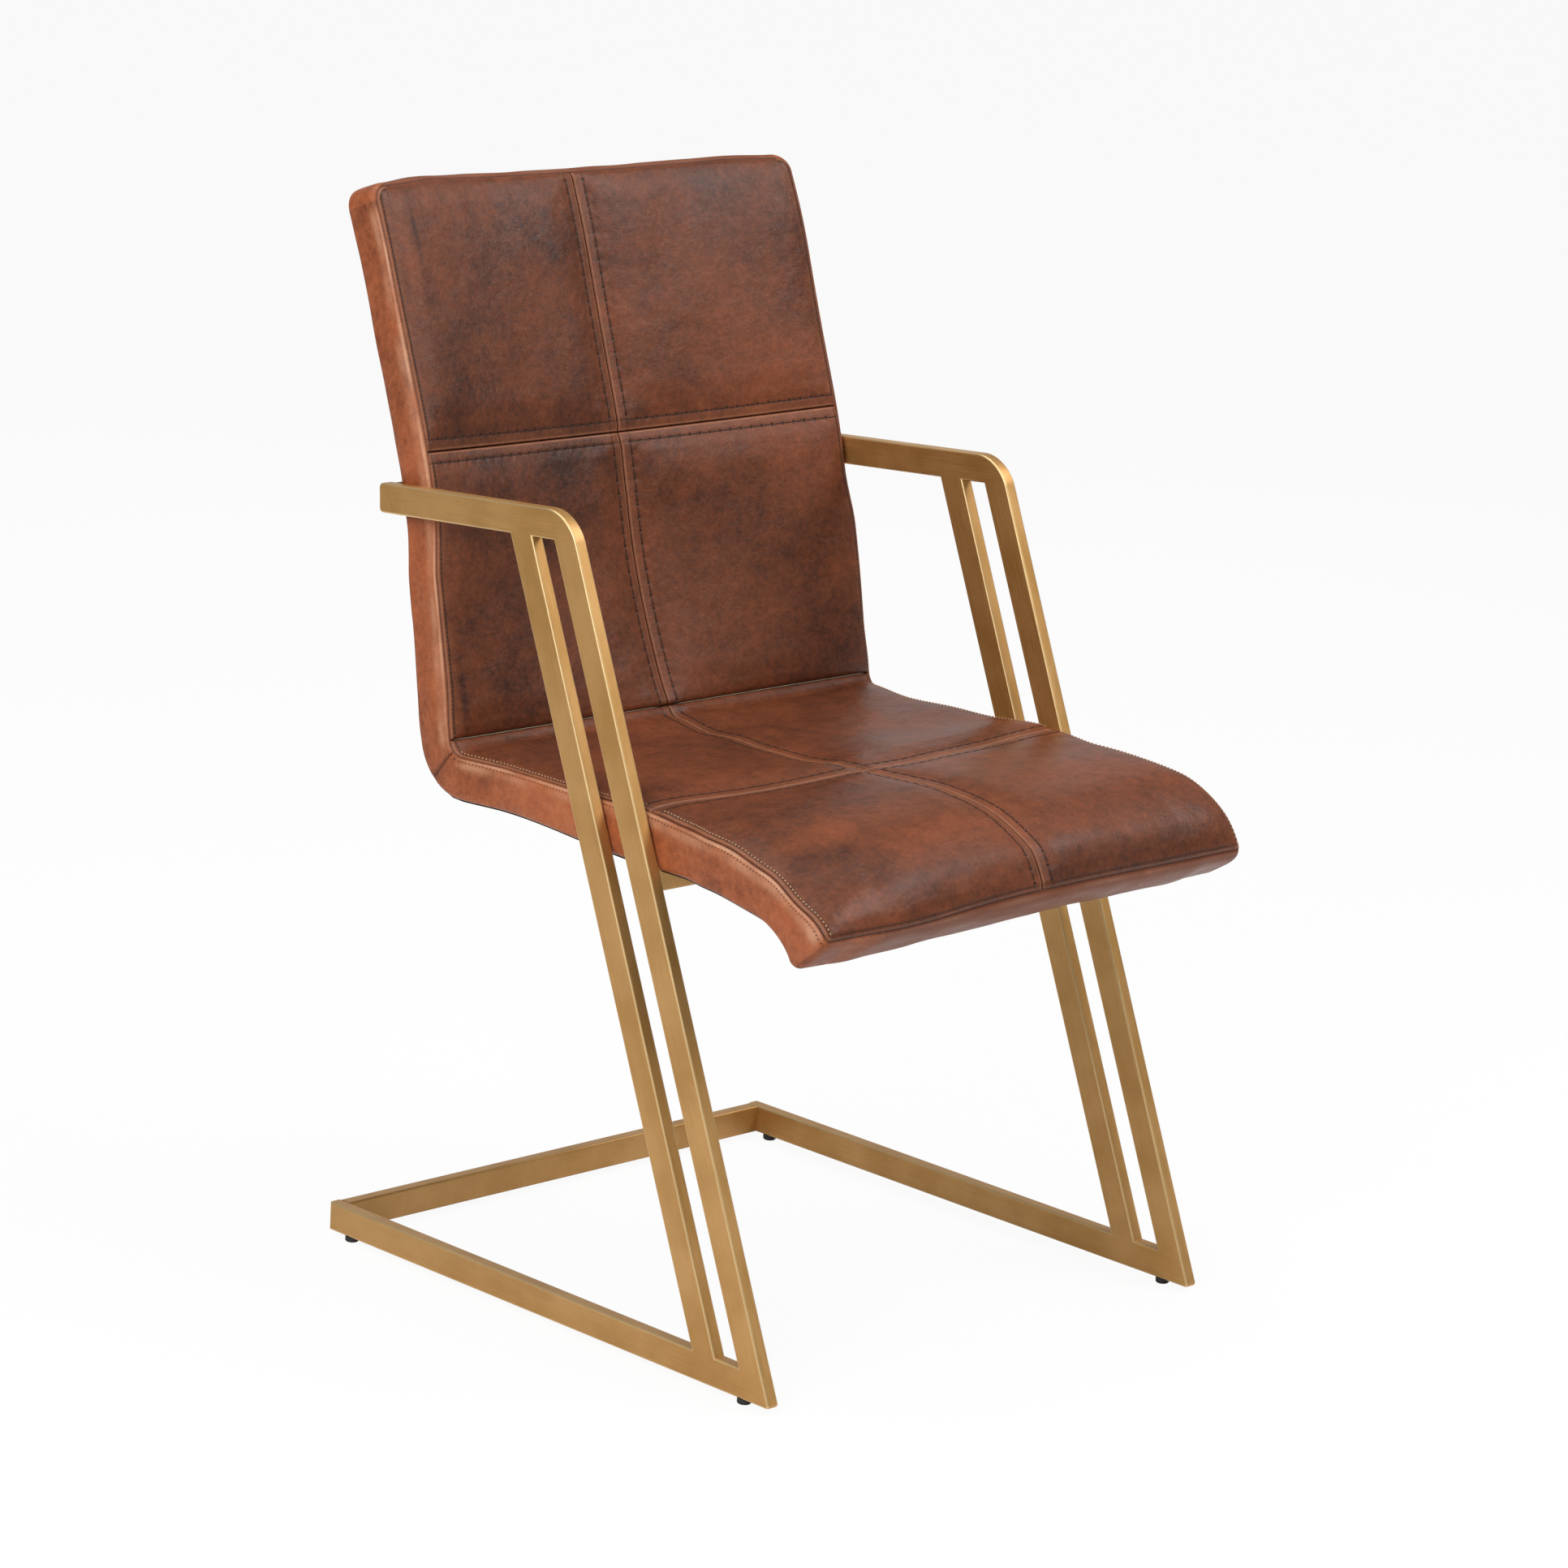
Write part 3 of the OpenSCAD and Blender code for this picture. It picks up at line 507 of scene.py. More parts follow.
@dataclass
class ShellForm:
    """The shell's side line with its hollow and crown, the same as the solids follow.

    Places of the face are given as (s, x): s runs down the back and forward along the seat in the
    side view, and x across the chair, with the sitter's left above 0. Sizes are in mm, turns in
    degrees.
    """

    mid_f: float
    half_w: float = 241.0
    thick: float = 39.0
    top_h: float = 910.0
    lumbar_h: float = 698.0
    upper_lean: float = 21.5
    lower_lean: float = 12.0
    lumbar_r: float = 500.0
    seat_h: float = 454.0
    crease_f: float = 123.0
    crease_r: float = 12.0
    seat_flat: float = 277.0
    fall_r: float = 400.0
    fall_turn: float = 8.0
    fall_len: float = 40.0
    nose_r: float = 100.0
    nose_turn: float = 50.0
    corner_r: float = 15.0
    front_corner_r: float = 7.0
    top_dish: float = 21.0
    back_dish: float = 26.0
    seat_pocket: float = 11.0
    front_crown: float = 13.0
    seat_seam: float = 232.0
    front_reach: float = 4.0
    back_bulge: float = 5.0
    crease_bulge: float = 2.5
    nose_bulge: float = 4.5
    top_bow: float = 4.4
    cross_bow: float = 3.0
    near_fall: float = 6.0
    seat_thicker: float = 7.5
    nose_thicker: float = 2.5
    # Shares of the lumbar radius, of the seat's flat length and of the nose radius
    dish_hold: float = 0.14
    pocket_len: float = 0.74
    crown_from: float = 0.72
    crown_len: float = 0.78
    crown_end: float = 0.35
    # Share of the crown that is lost over that end
    crown_loss: float = 0.55
    stretches: list[tuple[float, float]] = field(init=False)
    knots: list[tuple[float, float, float, float]] = field(init=False)

    def __post_init__(self) -> None:
        """Works out the stretches of the side line and where each begins."""
        turn = self.upper_lean - self.lower_lean
        bend = 90.0 - self.lower_lean
        lumbar_tan = self.lumbar_r * math.tan(math.radians(turn / 2))
        self.crease_tan = self.crease_r * math.tan(math.radians(bend / 2))
        lower = math.radians(self.lower_lean)
        upper = math.radians(self.upper_lean)
        lumbar_f = self.crease_f - (self.lumbar_h - self.seat_h) * math.tan(lower)
        top_f = lumbar_f - (self.top_h - self.lumbar_h) * math.tan(upper)
        self.stretches = [
            ((self.top_h - self.lumbar_h) / math.cos(upper) - lumbar_tan, 0.0),
            (math.radians(turn) * self.lumbar_r, -turn),
            ((self.lumbar_h - self.seat_h) / math.cos(lower) - lumbar_tan - self.crease_tan, 0.0),
            (math.radians(bend) * self.crease_r, bend),
            (self.seat_flat - self.crease_tan, 0.0),
            (math.radians(self.fall_turn) * self.fall_r, -self.fall_turn),
            (self.fall_len, 0.0),
            (math.radians(self.nose_turn) * self.nose_r, -self.nose_turn),
        ]
        self.knots = [(0.0, top_f, self.top_h, math.radians(self.upper_lean - 90.0))]
        for length, angle in self.stretches:
            s, f, z, heading = self.knots[-1]
            turned = math.radians(angle)
            if angle:
                r = length / turned
                f += r * (math.sin(heading + turned) - math.sin(heading))
                z -= r * (math.cos(heading + turned) - math.cos(heading))
            else:
                f += length * math.cos(heading)
                z += length * math.sin(heading)
            self.knots.append((s + length, f, z, heading + turned))
        self.s_lumbar = self.knots[1][0] + self.stretches[1][0] / 2
        self.s_crease = self.knots[3][0]
        self.s_mitre = self.knots[3][0] + self.stretches[3][0] / 2
        self.s_seat = self.knots[4][0]
        self.s_cross = self.s_seat - self.crease_tan + self.seat_seam
        self.s_end = self.knots[8][0]
        self.s_front = self.s_end + self.front_reach

    def side_at(self, s: np.ndarray) -> np.ndarray:
        """Half width before the corners, fuller where no bar stands beside the leather.

        Args:
            s: Distances along the side line.

        Returns:
            Half widths.
        """
        lower_back = smooth((s - 285.0) / 50.0) * (1 - smooth((s - 476.0) / 60.0))
        by_crease = self.crease_bulge * smooth((s - 420.0) / 40.0)
        front = smooth((s - 745.0) / 35.0)
        return self.half_w + (self.back_bulge + by_crease) * lower_back + self.nose_bulge * front

    def settle(self, s: np.ndarray, x: np.ndarray) -> np.ndarray:
        """How far the pad stands over or under the even form.

        Args:
            s: Distances along the side line.
            x: Distances across the chair.

        Returns:
            Heights in mm.
        """
        return sum(spot.weigh(s, x) for spot in SETTLED)

    def pull(self, s: np.ndarray, x: np.ndarray) -> np.ndarray:
        """How far the leather is drawn along the side line, which bows the seams across the chair.

        Args:
            s: Distances along the side line.
            x: Distances across the chair.

        Returns:
            Shifts in mm.
        """
        inside = self.half_w - np.abs(x)
        top = self.top_bow * smooth((inside - 8.0) / 70.0) * (1 - smooth(s / 130.0))
        lip = 2.2 * bell(x + 155.0, 60.0) - 4.0 * smooth((x + 150.0) / 150.0)
        cross = self.cross_bow * bell(x, 100.0) * bell(s - self.s_cross, 60.0)
        return cross - top + lip * smooth((s - 850.0) / 80.0)

    def thick_at(self, s: np.ndarray) -> np.ndarray:
        """Thickness of the padded shell, which grows towards the nose.

        Args:
            s: Distances along the side line.

        Returns:
            Thicknesses in mm.
        """
        seat = self.seat_thicker * smooth((s - 540.0) / 160.0)
        return self.thick + seat + self.nose_thicker * smooth((s - 790.0) / 100.0)

    def place(self, s: np.ndarray) -> tuple[np.ndarray, np.ndarray, np.ndarray]:
        """Finds places on the side line, which runs on straight past both ends.

        Args:
            s: Distances along the line.

        Returns:
            Distances forward, heights and headings.
        """
        s = np.asarray(s, float)
        f, z, heading = np.zeros_like(s), np.zeros_like(s), np.zeros_like(s)
        last = len(self.stretches) - 1
        for i, (length, angle) in enumerate(self.stretches):
            s0, f0, z0, h0 = self.knots[i]
            inside = (s >= s0 if i else s < np.inf) & (s < s0 + length if i < last else s < np.inf)
            along = s[inside] - s0
            held = np.clip(along, 0.0, length)
            rest = along - held
            turned = math.radians(angle) * held / length
            if angle:
                r = length / math.radians(angle)
                fx = f0 + r * (np.sin(h0 + turned) - math.sin(h0))
                zx = z0 - r * (np.cos(h0 + turned) - math.cos(h0))
            else:
                fx = f0 + held * math.cos(h0)
                zx = z0 + held * math.sin(h0)
            f[inside] = fx + rest * np.cos(h0 + turned)
            z[inside] = zx + rest * np.sin(h0 + turned)
            heading[inside] = h0 + turned
        return f, z, heading

    def dish(self, s: np.ndarray) -> np.ndarray:
        """Hollow of the back at the chair's middle.

        Args:
            s: Distances along the side line.

        Returns:
            Heights, 0 or less.
        """
        hold = self.dish_hold * self.lumbar_r
        depth = self.top_dish + (self.back_dish - self.top_dish) * smooth(s / self.s_lumbar)
        length = self.s_crease - self.s_lumbar - hold
        fade = np.clip((s - self.s_lumbar - hold) / length, 0.0, 1.0)
        return np.where(s < self.s_crease, -depth * np.cos(fade * math.pi / 2), 0.0)

    def lift(self, s: np.ndarray) -> np.ndarray:
        """Pocket and crown of the seat at the chair's middle.

        Args:
            s: Distances along the side line.

        Returns:
            Heights.
        """
        along = np.clip((s - self.s_crease) / (self.pocket_len * self.seat_flat), 0.0, 1.0)
        pocket = np.sin(along * math.pi)
        start = self.crown_from * self.seat_flat
        crown = smooth((s - self.s_seat - start) / (self.crown_len * self.seat_flat))
        end = self.crown_end * self.nose_r
        crown = crown * (1 - self.crown_loss * smooth((s - self.s_end + end) / end))
        seat = self.front_crown * crown - self.seat_pocket * pocket
        return np.where(s < self.s_crease, 0.0, seat)

    def across(self, x: np.ndarray) -> np.ndarray:
        """Share of hollow and crown at a distance from the chair's middle."""
        return np.clip(1 - (x / self.half_w) ** 2, 0.0, 1.0)

    def half_inside(self, s: np.ndarray, inset: float) -> np.ndarray:
        """Half width of the outline that runs inside the shell's at a distance.

        Args:
            s: Distances along the side line.
            inset: The distance.

        Returns:
            Half widths.
        """
        top_r, front_r = self.corner_r - inset, self.front_corner_r - inset
        top = np.clip(self.corner_r - s, 0.0, top_r)
        front = np.clip(s - self.s_front + self.front_corner_r, 0.0, front_r)
        return self.side_at(s) - inset - (top_r - np.sqrt(top_r ** 2 - top ** 2)) - (
            front_r - np.sqrt(front_r ** 2 - front ** 2))

    def face_out(self, s: np.ndarray, x: np.ndarray) -> np.ndarray:
        """How far the face stands out of the side line."""
        return (self.dish(s) + self.lift(s)) * self.across(x)

    def point(self, s: np.ndarray, x: np.ndarray, out: np.ndarray) -> np.ndarray:
        """Places points of the shell in the chair's frame.

        Args:
            s: Distances along the side line.
            x: Distances across the chair.
            out: Heights square to the side line.

        Returns:
            An array of points in metres.
        """
        f, z, heading = self.place(s + self.pull(s, x))
        # The near corner of the nose hangs further over
        near = smooth((s - 860.0) / 80.0) * smooth((-x - 20.0) / 200.0)
        heading = heading + math.radians(self.near_fall) * near
        y = self.mid_f - (f - np.sin(heading) * out)
        return np.stack([np.broadcast_to(x, y.shape), y, z + np.cos(heading) * out], axis=-1) * MM


@dataclass(frozen=True)
class Seam:
    """How a leather panel ends, in mm: it rolls down to the seam, with a stitched row beside it.

    The roll's radius, the seam's inset from the outline, the row's distance from the seam and how
    far the leather takes to rise; then the stitches' pitch, a needle hole's half size, the depths
    of the notch at the seam and of the strip between seam and row, and how strong the worn dye
    with its painted sheen and the grime are there.
    """

    roll: float
    inset: float
    row: float
    reach: float
    pitch: float = 11.3
    hole: float = 1.15
    notch: float = 0.7
    fall: float = 1.1
    wear_and_sheen: float = 0.9
    grime: float = 0.85


class SeamKind(Enum):
    """The seams that bound the panels, with the sizes of each."""

    LAPPED = Seam(
        roll=1.2, inset=0.0, row=10.0, reach=34.0, hole=1.35, notch=0.9, fall=1.7, wear_and_sheen=0.8)
    CREASE = Seam(
        roll=5.0, inset=0.0, row=0.0, reach=30.0, notch=0.0, fall=0.0, wear_and_sheen=0.1, grime=0.9)
    SIDE_BACK = Seam(
        roll=8.0, inset=1.87, row=4.0, reach=26.0, pitch=3.8, hole=0.85, notch=0.3, fall=0.6,
        wear_and_sheen=0.9, grime=0.6)
    SIDE_SEAT = Seam(
        roll=8.0, inset=1.87, row=4.6, reach=26.0, pitch=3.8, hole=0.85, notch=0.3, fall=0.6,
        wear_and_sheen=0.85, grime=0.6)
    TOP = Seam(
        roll=8.0, inset=1.87, row=0.0, reach=24.0, notch=0.6, fall=0.0, wear_and_sheen=0.15, grime=1.0)
    FRONT = Seam(
        roll=8.0, inset=1.87, row=3.4, reach=26.0, pitch=3.8, hole=0.6, notch=0.8, fall=0.4,
        wear_and_sheen=0.1, grime=1.0)


@dataclass
class Panel:
    """One leather panel of the face, between the middle seam and the side."""

    name: str
    node: str
    side: int
    s0: float
    s1: float
    start: SeamKind
    end: SeamKind
    outer: SeamKind
    puff: float = 3.2
    coarse: float = 2.5
    blank: "Blank | None" = None

    def edges(
        self,
        form: ShellForm,
        s: np.ndarray,
        ax: np.ndarray,
    ) -> list[tuple[Seam, np.ndarray]]:
        """Distances of places from the panel's four edges.

        Args:
            form: The shell's form.
            s: Distances along the side line.
            ax: Distances from the chair's middle.

        Returns:
            Each edge's seam with the distances from it.
        """
        half = form.side_at(s)
        to_side, to_start, to_end = half - ax, s - self.s0, self.s1 - s
        if self.start is SeamKind.TOP:
            r = form.corner_r
            corner = (s < r) & (ax > form.half_w - r)
            off = r - np.hypot(r - s, ax - (form.half_w - r))
            to_side, to_start = np.where(corner, off, to_side), np.where(corner, off, to_start)
        if self.end is SeamKind.FRONT:
            r = form.front_corner_r
            corner = (self.s1 - s < r) & (ax > half - r)
            off = r - np.hypot(s - self.s1 + r, ax - (half - r))
            to_side, to_end = np.where(corner, off, to_side), np.where(corner, off, to_end)
        return [
            (self.start.value, to_start), (self.end.value, to_end),
            (SeamKind.LAPPED.value, ax), (self.outer.value, to_side),
        ]

    def height(self, form: ShellForm, s: np.ndarray, ax: np.ndarray) -> np.ndarray:
        """Height of the leather over the side line.

        Args:
            form: The shell's form.
            s: Distances along the side line.
            ax: Distances from the chair's middle.

        Returns:
            The heights.
        """
        slow, quick = np.ones_like(s), np.ones_like(s)
        held = np.full_like(s, FAR)
        drop, detail = np.zeros_like(s), np.zeros_like(s)
        for index, (seam, e) in enumerate(self.edges(form, s, ax)):
            # From the seam (d) or its stitch row (free) the leather rises, soon and then slowly
            d = np.maximum(e - seam.inset, 0.0)
            free = d - max(seam.row, 1.0)
            slow = slow * smooth(free / seam.reach + 0.02)
            quick = quick * smooth(free / 11.0)
            held = np.minimum(held, free - 1.5)
            # At the seam it rolls over and is drawn into a notch, with its border tucked in
            inner = np.clip(seam.roll - e, 0.0, seam.roll)
            drop = np.maximum(drop, seam.roll - np.sqrt(seam.roll ** 2 - inner ** 2))
            detail = detail - seam.notch * bell(d, 0.8) - 2.5 * (e - seam.inset < 0.1)
            if not seam.row:
                continue
            # It lies lower between seam and row, and the thread cuts in
            lower = seam.fall * np.clip(1 - d / seam.row, 0.0, 1.0)
            detail = detail - lower - 0.4 * bell(free, 1.4)
            if seam is SeamKind.LAPPED.value:
                # Long stitches scallop it
                run = ax if index < 2 else s - self.s0
                wave = np.cos(2 * math.pi * run / seam.pitch + 0.8)
                detail = detail - 0.24 * wave * bell(free - 2.0, 2.8)
        puff = self.puff * (0.42 * quick + 0.58 * slow)
        if self.blank is not None:
            puff = puff + self.blank.swell(s, ax) * smooth(held / 22.0)
        even = form.face_out(s, ax) + form.settle(s, ax * self.side)
        return even + puff - drop + detail + self.hand(form, s, ax)

    def rows(self, form: ShellForm, s: np.ndarray, ax: np.ndarray) -> dict[str, np.ndarray]:
        """Where the stitch rows run, for the needle holes.

        Args:
            form: The shell's form.
            s: Distances along the side line.
            ax: Distances from the chair's middle.

        Returns:
            Distances from the rows in half holes, and along them in stitches.
        """
        layers = {}
        edges = self.edges(form, s, ax)
        for family, pair, run, others in (
                ("cross", edges[:2], ax, edges[2:]), ("long", edges[2:], s - self.s0, edges[:2])):
            best, along = np.full_like(s, FAR), np.zeros_like(s)
            for seam, e in pair:
                if not seam.row:
                    continue
                away = np.abs(e - seam.inset - seam.row) / seam.hole
                # A row ends where it meets the one that crosses it
                for other, gap in others:
                    away = away + 40.0 * (gap - other.inset < other.row - 0.8)
                closer = away < best
                best = np.where(closer, away, best)
                along = np.where(closer, (run - SeamKind.LAPPED.value.row) / seam.pitch, along)
            layers[f"{family}_row"], layers[f"{family}_run"] = best, along
        return layers

    def hand(self, form: ShellForm, s: np.ndarray, ax: np.ndarray) -> np.ndarray:
        """Unevenness left by the hand that pulled the leather over.

        Args:
            form: The shell's form.
            s: Distances along the side line.
            ax: Distances from the chair's middle.

        Returns:
            Heights.
        """
        x = self.side * ax
        wide, near = ripple(s / 70, x / 55, 0.3), ripple(s / 16, x / 16, 4.1)
        edge = np.minimum(np.minimum(s - self.s0, self.s1 - s), np.minimum(ax, form.half_w - ax))
        fade = smooth((edge - 9.0) / 10.0)
        return fade * (0.7 * wide + 0.3 * near * bell(edge - 14.0, 18.0))


@dataclass
class Blank:
    """A coarse cloth copy of a panel, held along its seams and swollen by pressure from inside."""

    panel: Panel
    form: ShellForm
    spacing: float = 6.5
    cap: float = 2.4
    cloth: bpy.types.Object | None = None
    rise: np.ndarray | None = None

    def __post_init__(self) -> None:
        """Lays out the grid."""
        panel, half = self.panel, self.form.half_w
        self.s_line = np.linspace(panel.s0, panel.s1, int((panel.s1 - panel.s0) / self.spacing) + 1)
        self.x_line = np.linspace(0.0, half, int(half / self.spacing) + 1)
        self.s, self.ax = np.meshgrid(self.s_line, self.x_line, indexing="ij")
        out = self.form.face_out(self.s, self.ax)
        self.rest = self.form.point(self.s, panel.side * self.ax, out)

    def lay(self) -> None:
        """Makes the cloth and pins its border."""
        self.cloth = grid_piece(f"{self.panel.name}_blank", self.rest, turn=self.panel.side > 0)
        self.cloth.modifiers.clear()
        border = [v.index for v in self.cloth.data.vertices if self.on_border(v.co)]
        self.cloth.vertex_groups.new(name="held").add(border, 1.0, "REPLACE")
        settings = self.cloth.modifiers.new("cloth", "CLOTH").settings
        settings.quality = 6
        settings.mass = 0.25
        settings.tension_stiffness = settings.compression_stiffness = 12.0
        settings.shear_stiffness = 6.0
        settings.bending_stiffness = 0.6
        settings.shrink_min = -0.025
        settings.use_pressure = True
        settings.uniform_pressure_force = 4.0
        settings.vertex_group_mass = "held"
        settings.effector_weights.gravity = 0.0

    def on_border(self, place: Vector) -> bool:
        """Tells whether a point of the rest shape lies on the blank's border.

        Args:
            place: The point, in metres.

        Returns:
            True on the border, which is pinned.
        """
        away = np.abs(self.rest - np.array(place)).sum(axis=2)
        i, j = np.unravel_index(away.argmin(), away.shape)
        return i in (0, away.shape[0] - 1) or j in (0, away.shape[1] - 1)

    def read(self) -> None:
        """Keeps how far the cloth rose, and takes it away."""
        after = self.cloth.evaluated_get(bpy.context.evaluated_depsgraph_get()).data
        now = np.empty(len(after.vertices) * 3)
        after.vertices.foreach_get("co", now)
        was = np.empty_like(now)
        self.cloth.data.vertices.foreach_get("co", was)
        heading = self.form.place(self.s)[2]
        out = np.stack([0 * heading, np.sin(heading), np.cos(heading)], axis=-1).reshape(-1, 3)
        rise = ((now - was).reshape(-1, 3) * out).sum(axis=1).reshape(self.s.shape) / MM
        self.rise = rise * min(1.0, self.cap / rise.max())
        LOG.info("%s: cloth rose %.1f to %.1f mm", self.cloth.name, rise.min(), rise.max())
        mesh = self.cloth.data
        bpy.data.objects.remove(self.cloth)
        bpy.data.meshes.remove(mesh)

    def swell(self, s: np.ndarray, ax: np.ndarray) -> np.ndarray:
        """How far the cloth rose at places of the panel.

        Args:
            s: Distances along the side line.
            ax: Distances from the chair's middle.

        Returns:
            Heights in mm.
        """
        if self.rise is None:
            return np.zeros_like(s)
        s_step, x_step = self.s_line[1] - self.s_line[0], self.x_line[1]
        u = np.clip((s - self.s_line[0]) / s_step, 0, len(self.s_line) - 1.001)
        v = np.clip(ax / x_step, 0, len(self.x_line) - 1.001)
        i, j = u.astype(int), v.astype(int)
        fu, fv = smooth(u - i), smooth(v - j)
        r = self.rise
        return ((r[i, j] * (1 - fu) + r[i + 1, j] * fu) * (1 - fv)
                + (r[i, j + 1] * (1 - fu) + r[i + 1, j + 1] * fu) * fv)


def press(blanks: list[Blank], frames: int = 20) -> None:
    """Args:
        blanks: The blanks.
        frames: The simulation's length.
    """
    scene = bpy.context.scene
    scene.frame_start, scene.frame_end = 1, frames
    for blank in blanks:
        blank.lay()
    for number in range(1, frames + 1):
        scene.frame_set(number)
    for blank in blanks:
        blank.read()
    scene.frame_set(1)


# Distances from a seam at which a panel's grid has its lines, where the leather rolls and dips
GRID_ENDS = (0.0, 0.25, 0.6, 1.1, 1.8, 2.8, 4.0, 5.2, 6.6, 8.2, 9.6, 10.4, 11.0, 11.6,
             12.4, 13.8, 15.8, 18.2)


def graded(length: float, coarse: float) -> np.ndarray:
    """Distances across a panel, close together by its seams.

    Args:
        length: The distance from seam to seam.
        coarse: The spacing in the middle.

    Returns:
        Increasing distances from 0 to length.
    """
    ends = np.array(GRID_ENDS)
    count = max(int((length - 2 * ends[-1]) / coarse), 4)
    middle = np.linspace(ends[-1], length - ends[-1], count + 1)[1:-1]
    return np.concatenate([ends, middle, length - ends[::-1]])


def grid_piece(
    name: str,
    points: np.ndarray,
    layers: dict[str, np.ndarray] | None = None,
    turn: bool = False,
    wall: float = 1.4,
) -> bpy.types.Object:
    """Makes a piece of leather or cloth from a grid that is laid over the given points.

    Args:
        name: The piece's name.
        points: Places in metres, rows by columns by 3.
        layers: Values for each place, by attribute name.
        turn: Whether the grid's faces are turned over.
        wall: Thickness in mm, to the inside.

    Returns:
        The object.
    """
    rows, cols = points.shape[:2]
    bm = bmesh.new()
    bmesh.ops.create_grid(bm, x_segments=cols - 1, y_segments=rows - 1, size=1.0)
    held = {key: bm.verts.layers.float.new(key) for key in (layers or {})}
    for vert in bm.verts:
        j = round((vert.co.x + 1) / 2 * (cols - 1))
        i = round((vert.co.y + 1) / 2 * (rows - 1))
        for key, layer in held.items():
            vert[layer] = float(layers[key][i, j])
        vert.co = Vector(points[i, j])
    if turn:
        bmesh.ops.reverse_faces(bm, faces=bm.faces[:])
    for face in bm.faces:
        face.smooth = True
    piece = finish_mesh(name, bm)
    solid = piece.modifiers.new("thickness", "SOLIDIFY")
    solid.thickness = wall * MM
    solid.offset = -1.0
    return piece


def finish_mesh(name: str, bm: bmesh.types.BMesh) -> bpy.types.Object:
    """Turns a bmesh to an object in the scene.

    Args:
        name: The object's name.
        bm: The bmesh, which is freed.

    Returns:
        The object.
    """
    mesh = bpy.data.meshes.new(name)
    bm.to_mesh(mesh)
    bm.free()
    piece = bpy.data.objects.new(name, mesh)
    bpy.context.scene.collection.objects.link(piece)
    return piece


def dress(
    piece: bpy.types.Object,
    material: bpy.types.Material,
    nodes: tuple[str, ...] = (),
) -> None:
    """Gives a piece its material, its body and the nodes that it stands for.

    Args:
        piece: The object.
        material: Its finish.
        nodes: The nodes that it replaces.
    """
    piece.data.materials.clear()
    piece.data.materials.append(material)
    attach(piece, "root")
    if nodes:
        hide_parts(*nodes)
    stands_for = ", ".join(nodes) or "nothing"
    LOG.info("%s: %d faces, stands for %s", piece.name, len(piece.data.polygons), stands_for)


# ---------------------------------------------------------------- leather shell


@dataclass(frozen=True)
class BandProfile:
    """Cross-section of a boxing band, in mm: outwards, height, way from the face's seam, row."""

    outwards: np.ndarray
    heights: np.ndarray
    d: np.ndarray
    row: float


@dataclass(frozen=True)
class Thread:
    """A stitch's visible thread: its length and half thickness in mm, and how far it stands out."""

    length: float
    radius: float
    proud: float


@dataclass
class Stitching:
    """Rows of single stitches on the leather, gathered in one piece."""

    name: str
    thread: Thread
    form: ShellForm
    bm: bmesh.types.BMesh = field(default_factory=bmesh.new)

    def __post_init__(self) -> None:
        """Makes the one stitch that all others copy."""
        one = bmesh.new()
        bmesh.ops.create_uvsphere(one, u_segments=6, v_segments=6, radius=1.0)
        self.pattern = bpy.data.meshes.new("stitch_pattern")
        one.to_mesh(self.pattern)
        one.free()

    def sew(self, points: np.ndarray, ahead: np.ndarray, above: np.ndarray) -> None:
        """Adds stitches.

        Args:
            points: Their middles in metres.
            ahead: Directions along the row.
            above: Directions out of the leather.
        """
        thread = self.thread
        half, radius = thread.length / 2 * MM, thread.radius * MM
        size = Matrix.Diagonal((half, radius, radius, 1.0))
        for point, along, up in zip(points, ahead, above):
            x_axis = Vector(along).normalized()
            z_axis = Vector(up).normalized()
            y_axis = z_axis.cross(x_axis).normalized()
            z_axis = x_axis.cross(y_axis)
            turn = Matrix((x_axis, y_axis, z_axis)).transposed().to_4x4()
            place = Matrix.Translation(Vector(point) + z_axis * thread.proud * MM)
            stitch = self.pattern.copy()
            stitch.transform(place @ turn @ size)
            self.bm.from_mesh(stitch)
            bpy.data.meshes.remove(stitch)

    def along(self, panel: Panel, s: np.ndarray, ax: np.ndarray, lengthwise: bool) -> None:
        """Adds a row on a panel.

        Args:
            panel: The panel.
            s: The stitches' distances along the side line.
            ax: Their distances from the chair's middle.
            lengthwise: Whether the row runs along the side line.
        """

        def place(ds: float, dx: float) -> np.ndarray:
            """Points of the leather, a step from the stitches."""
            out = panel.height(self.form, s + ds, ax + dx)
            return self.form.point(s + ds, panel.side * (ax + dx), out)

        ahead = place(1.0, 0.0) - place(-1.0, 0.0)
        aside = place(0.0, 1.0) - place(0.0, -1.0)
        above = np.cross(aside, ahead) * -panel.side
        self.sew(place(0.0, 0.0), ahead if lengthwise else aside, above)

    def finish(self, material: bpy.types.Material, slot: str) -> None:
        """Makes the piece.

        Args:
            material: The thread's finish.
            slot: Not used.
        """
        for face in self.bm.faces:
            face.smooth = True
        dress(finish_mesh(self.name, self.bm), material)


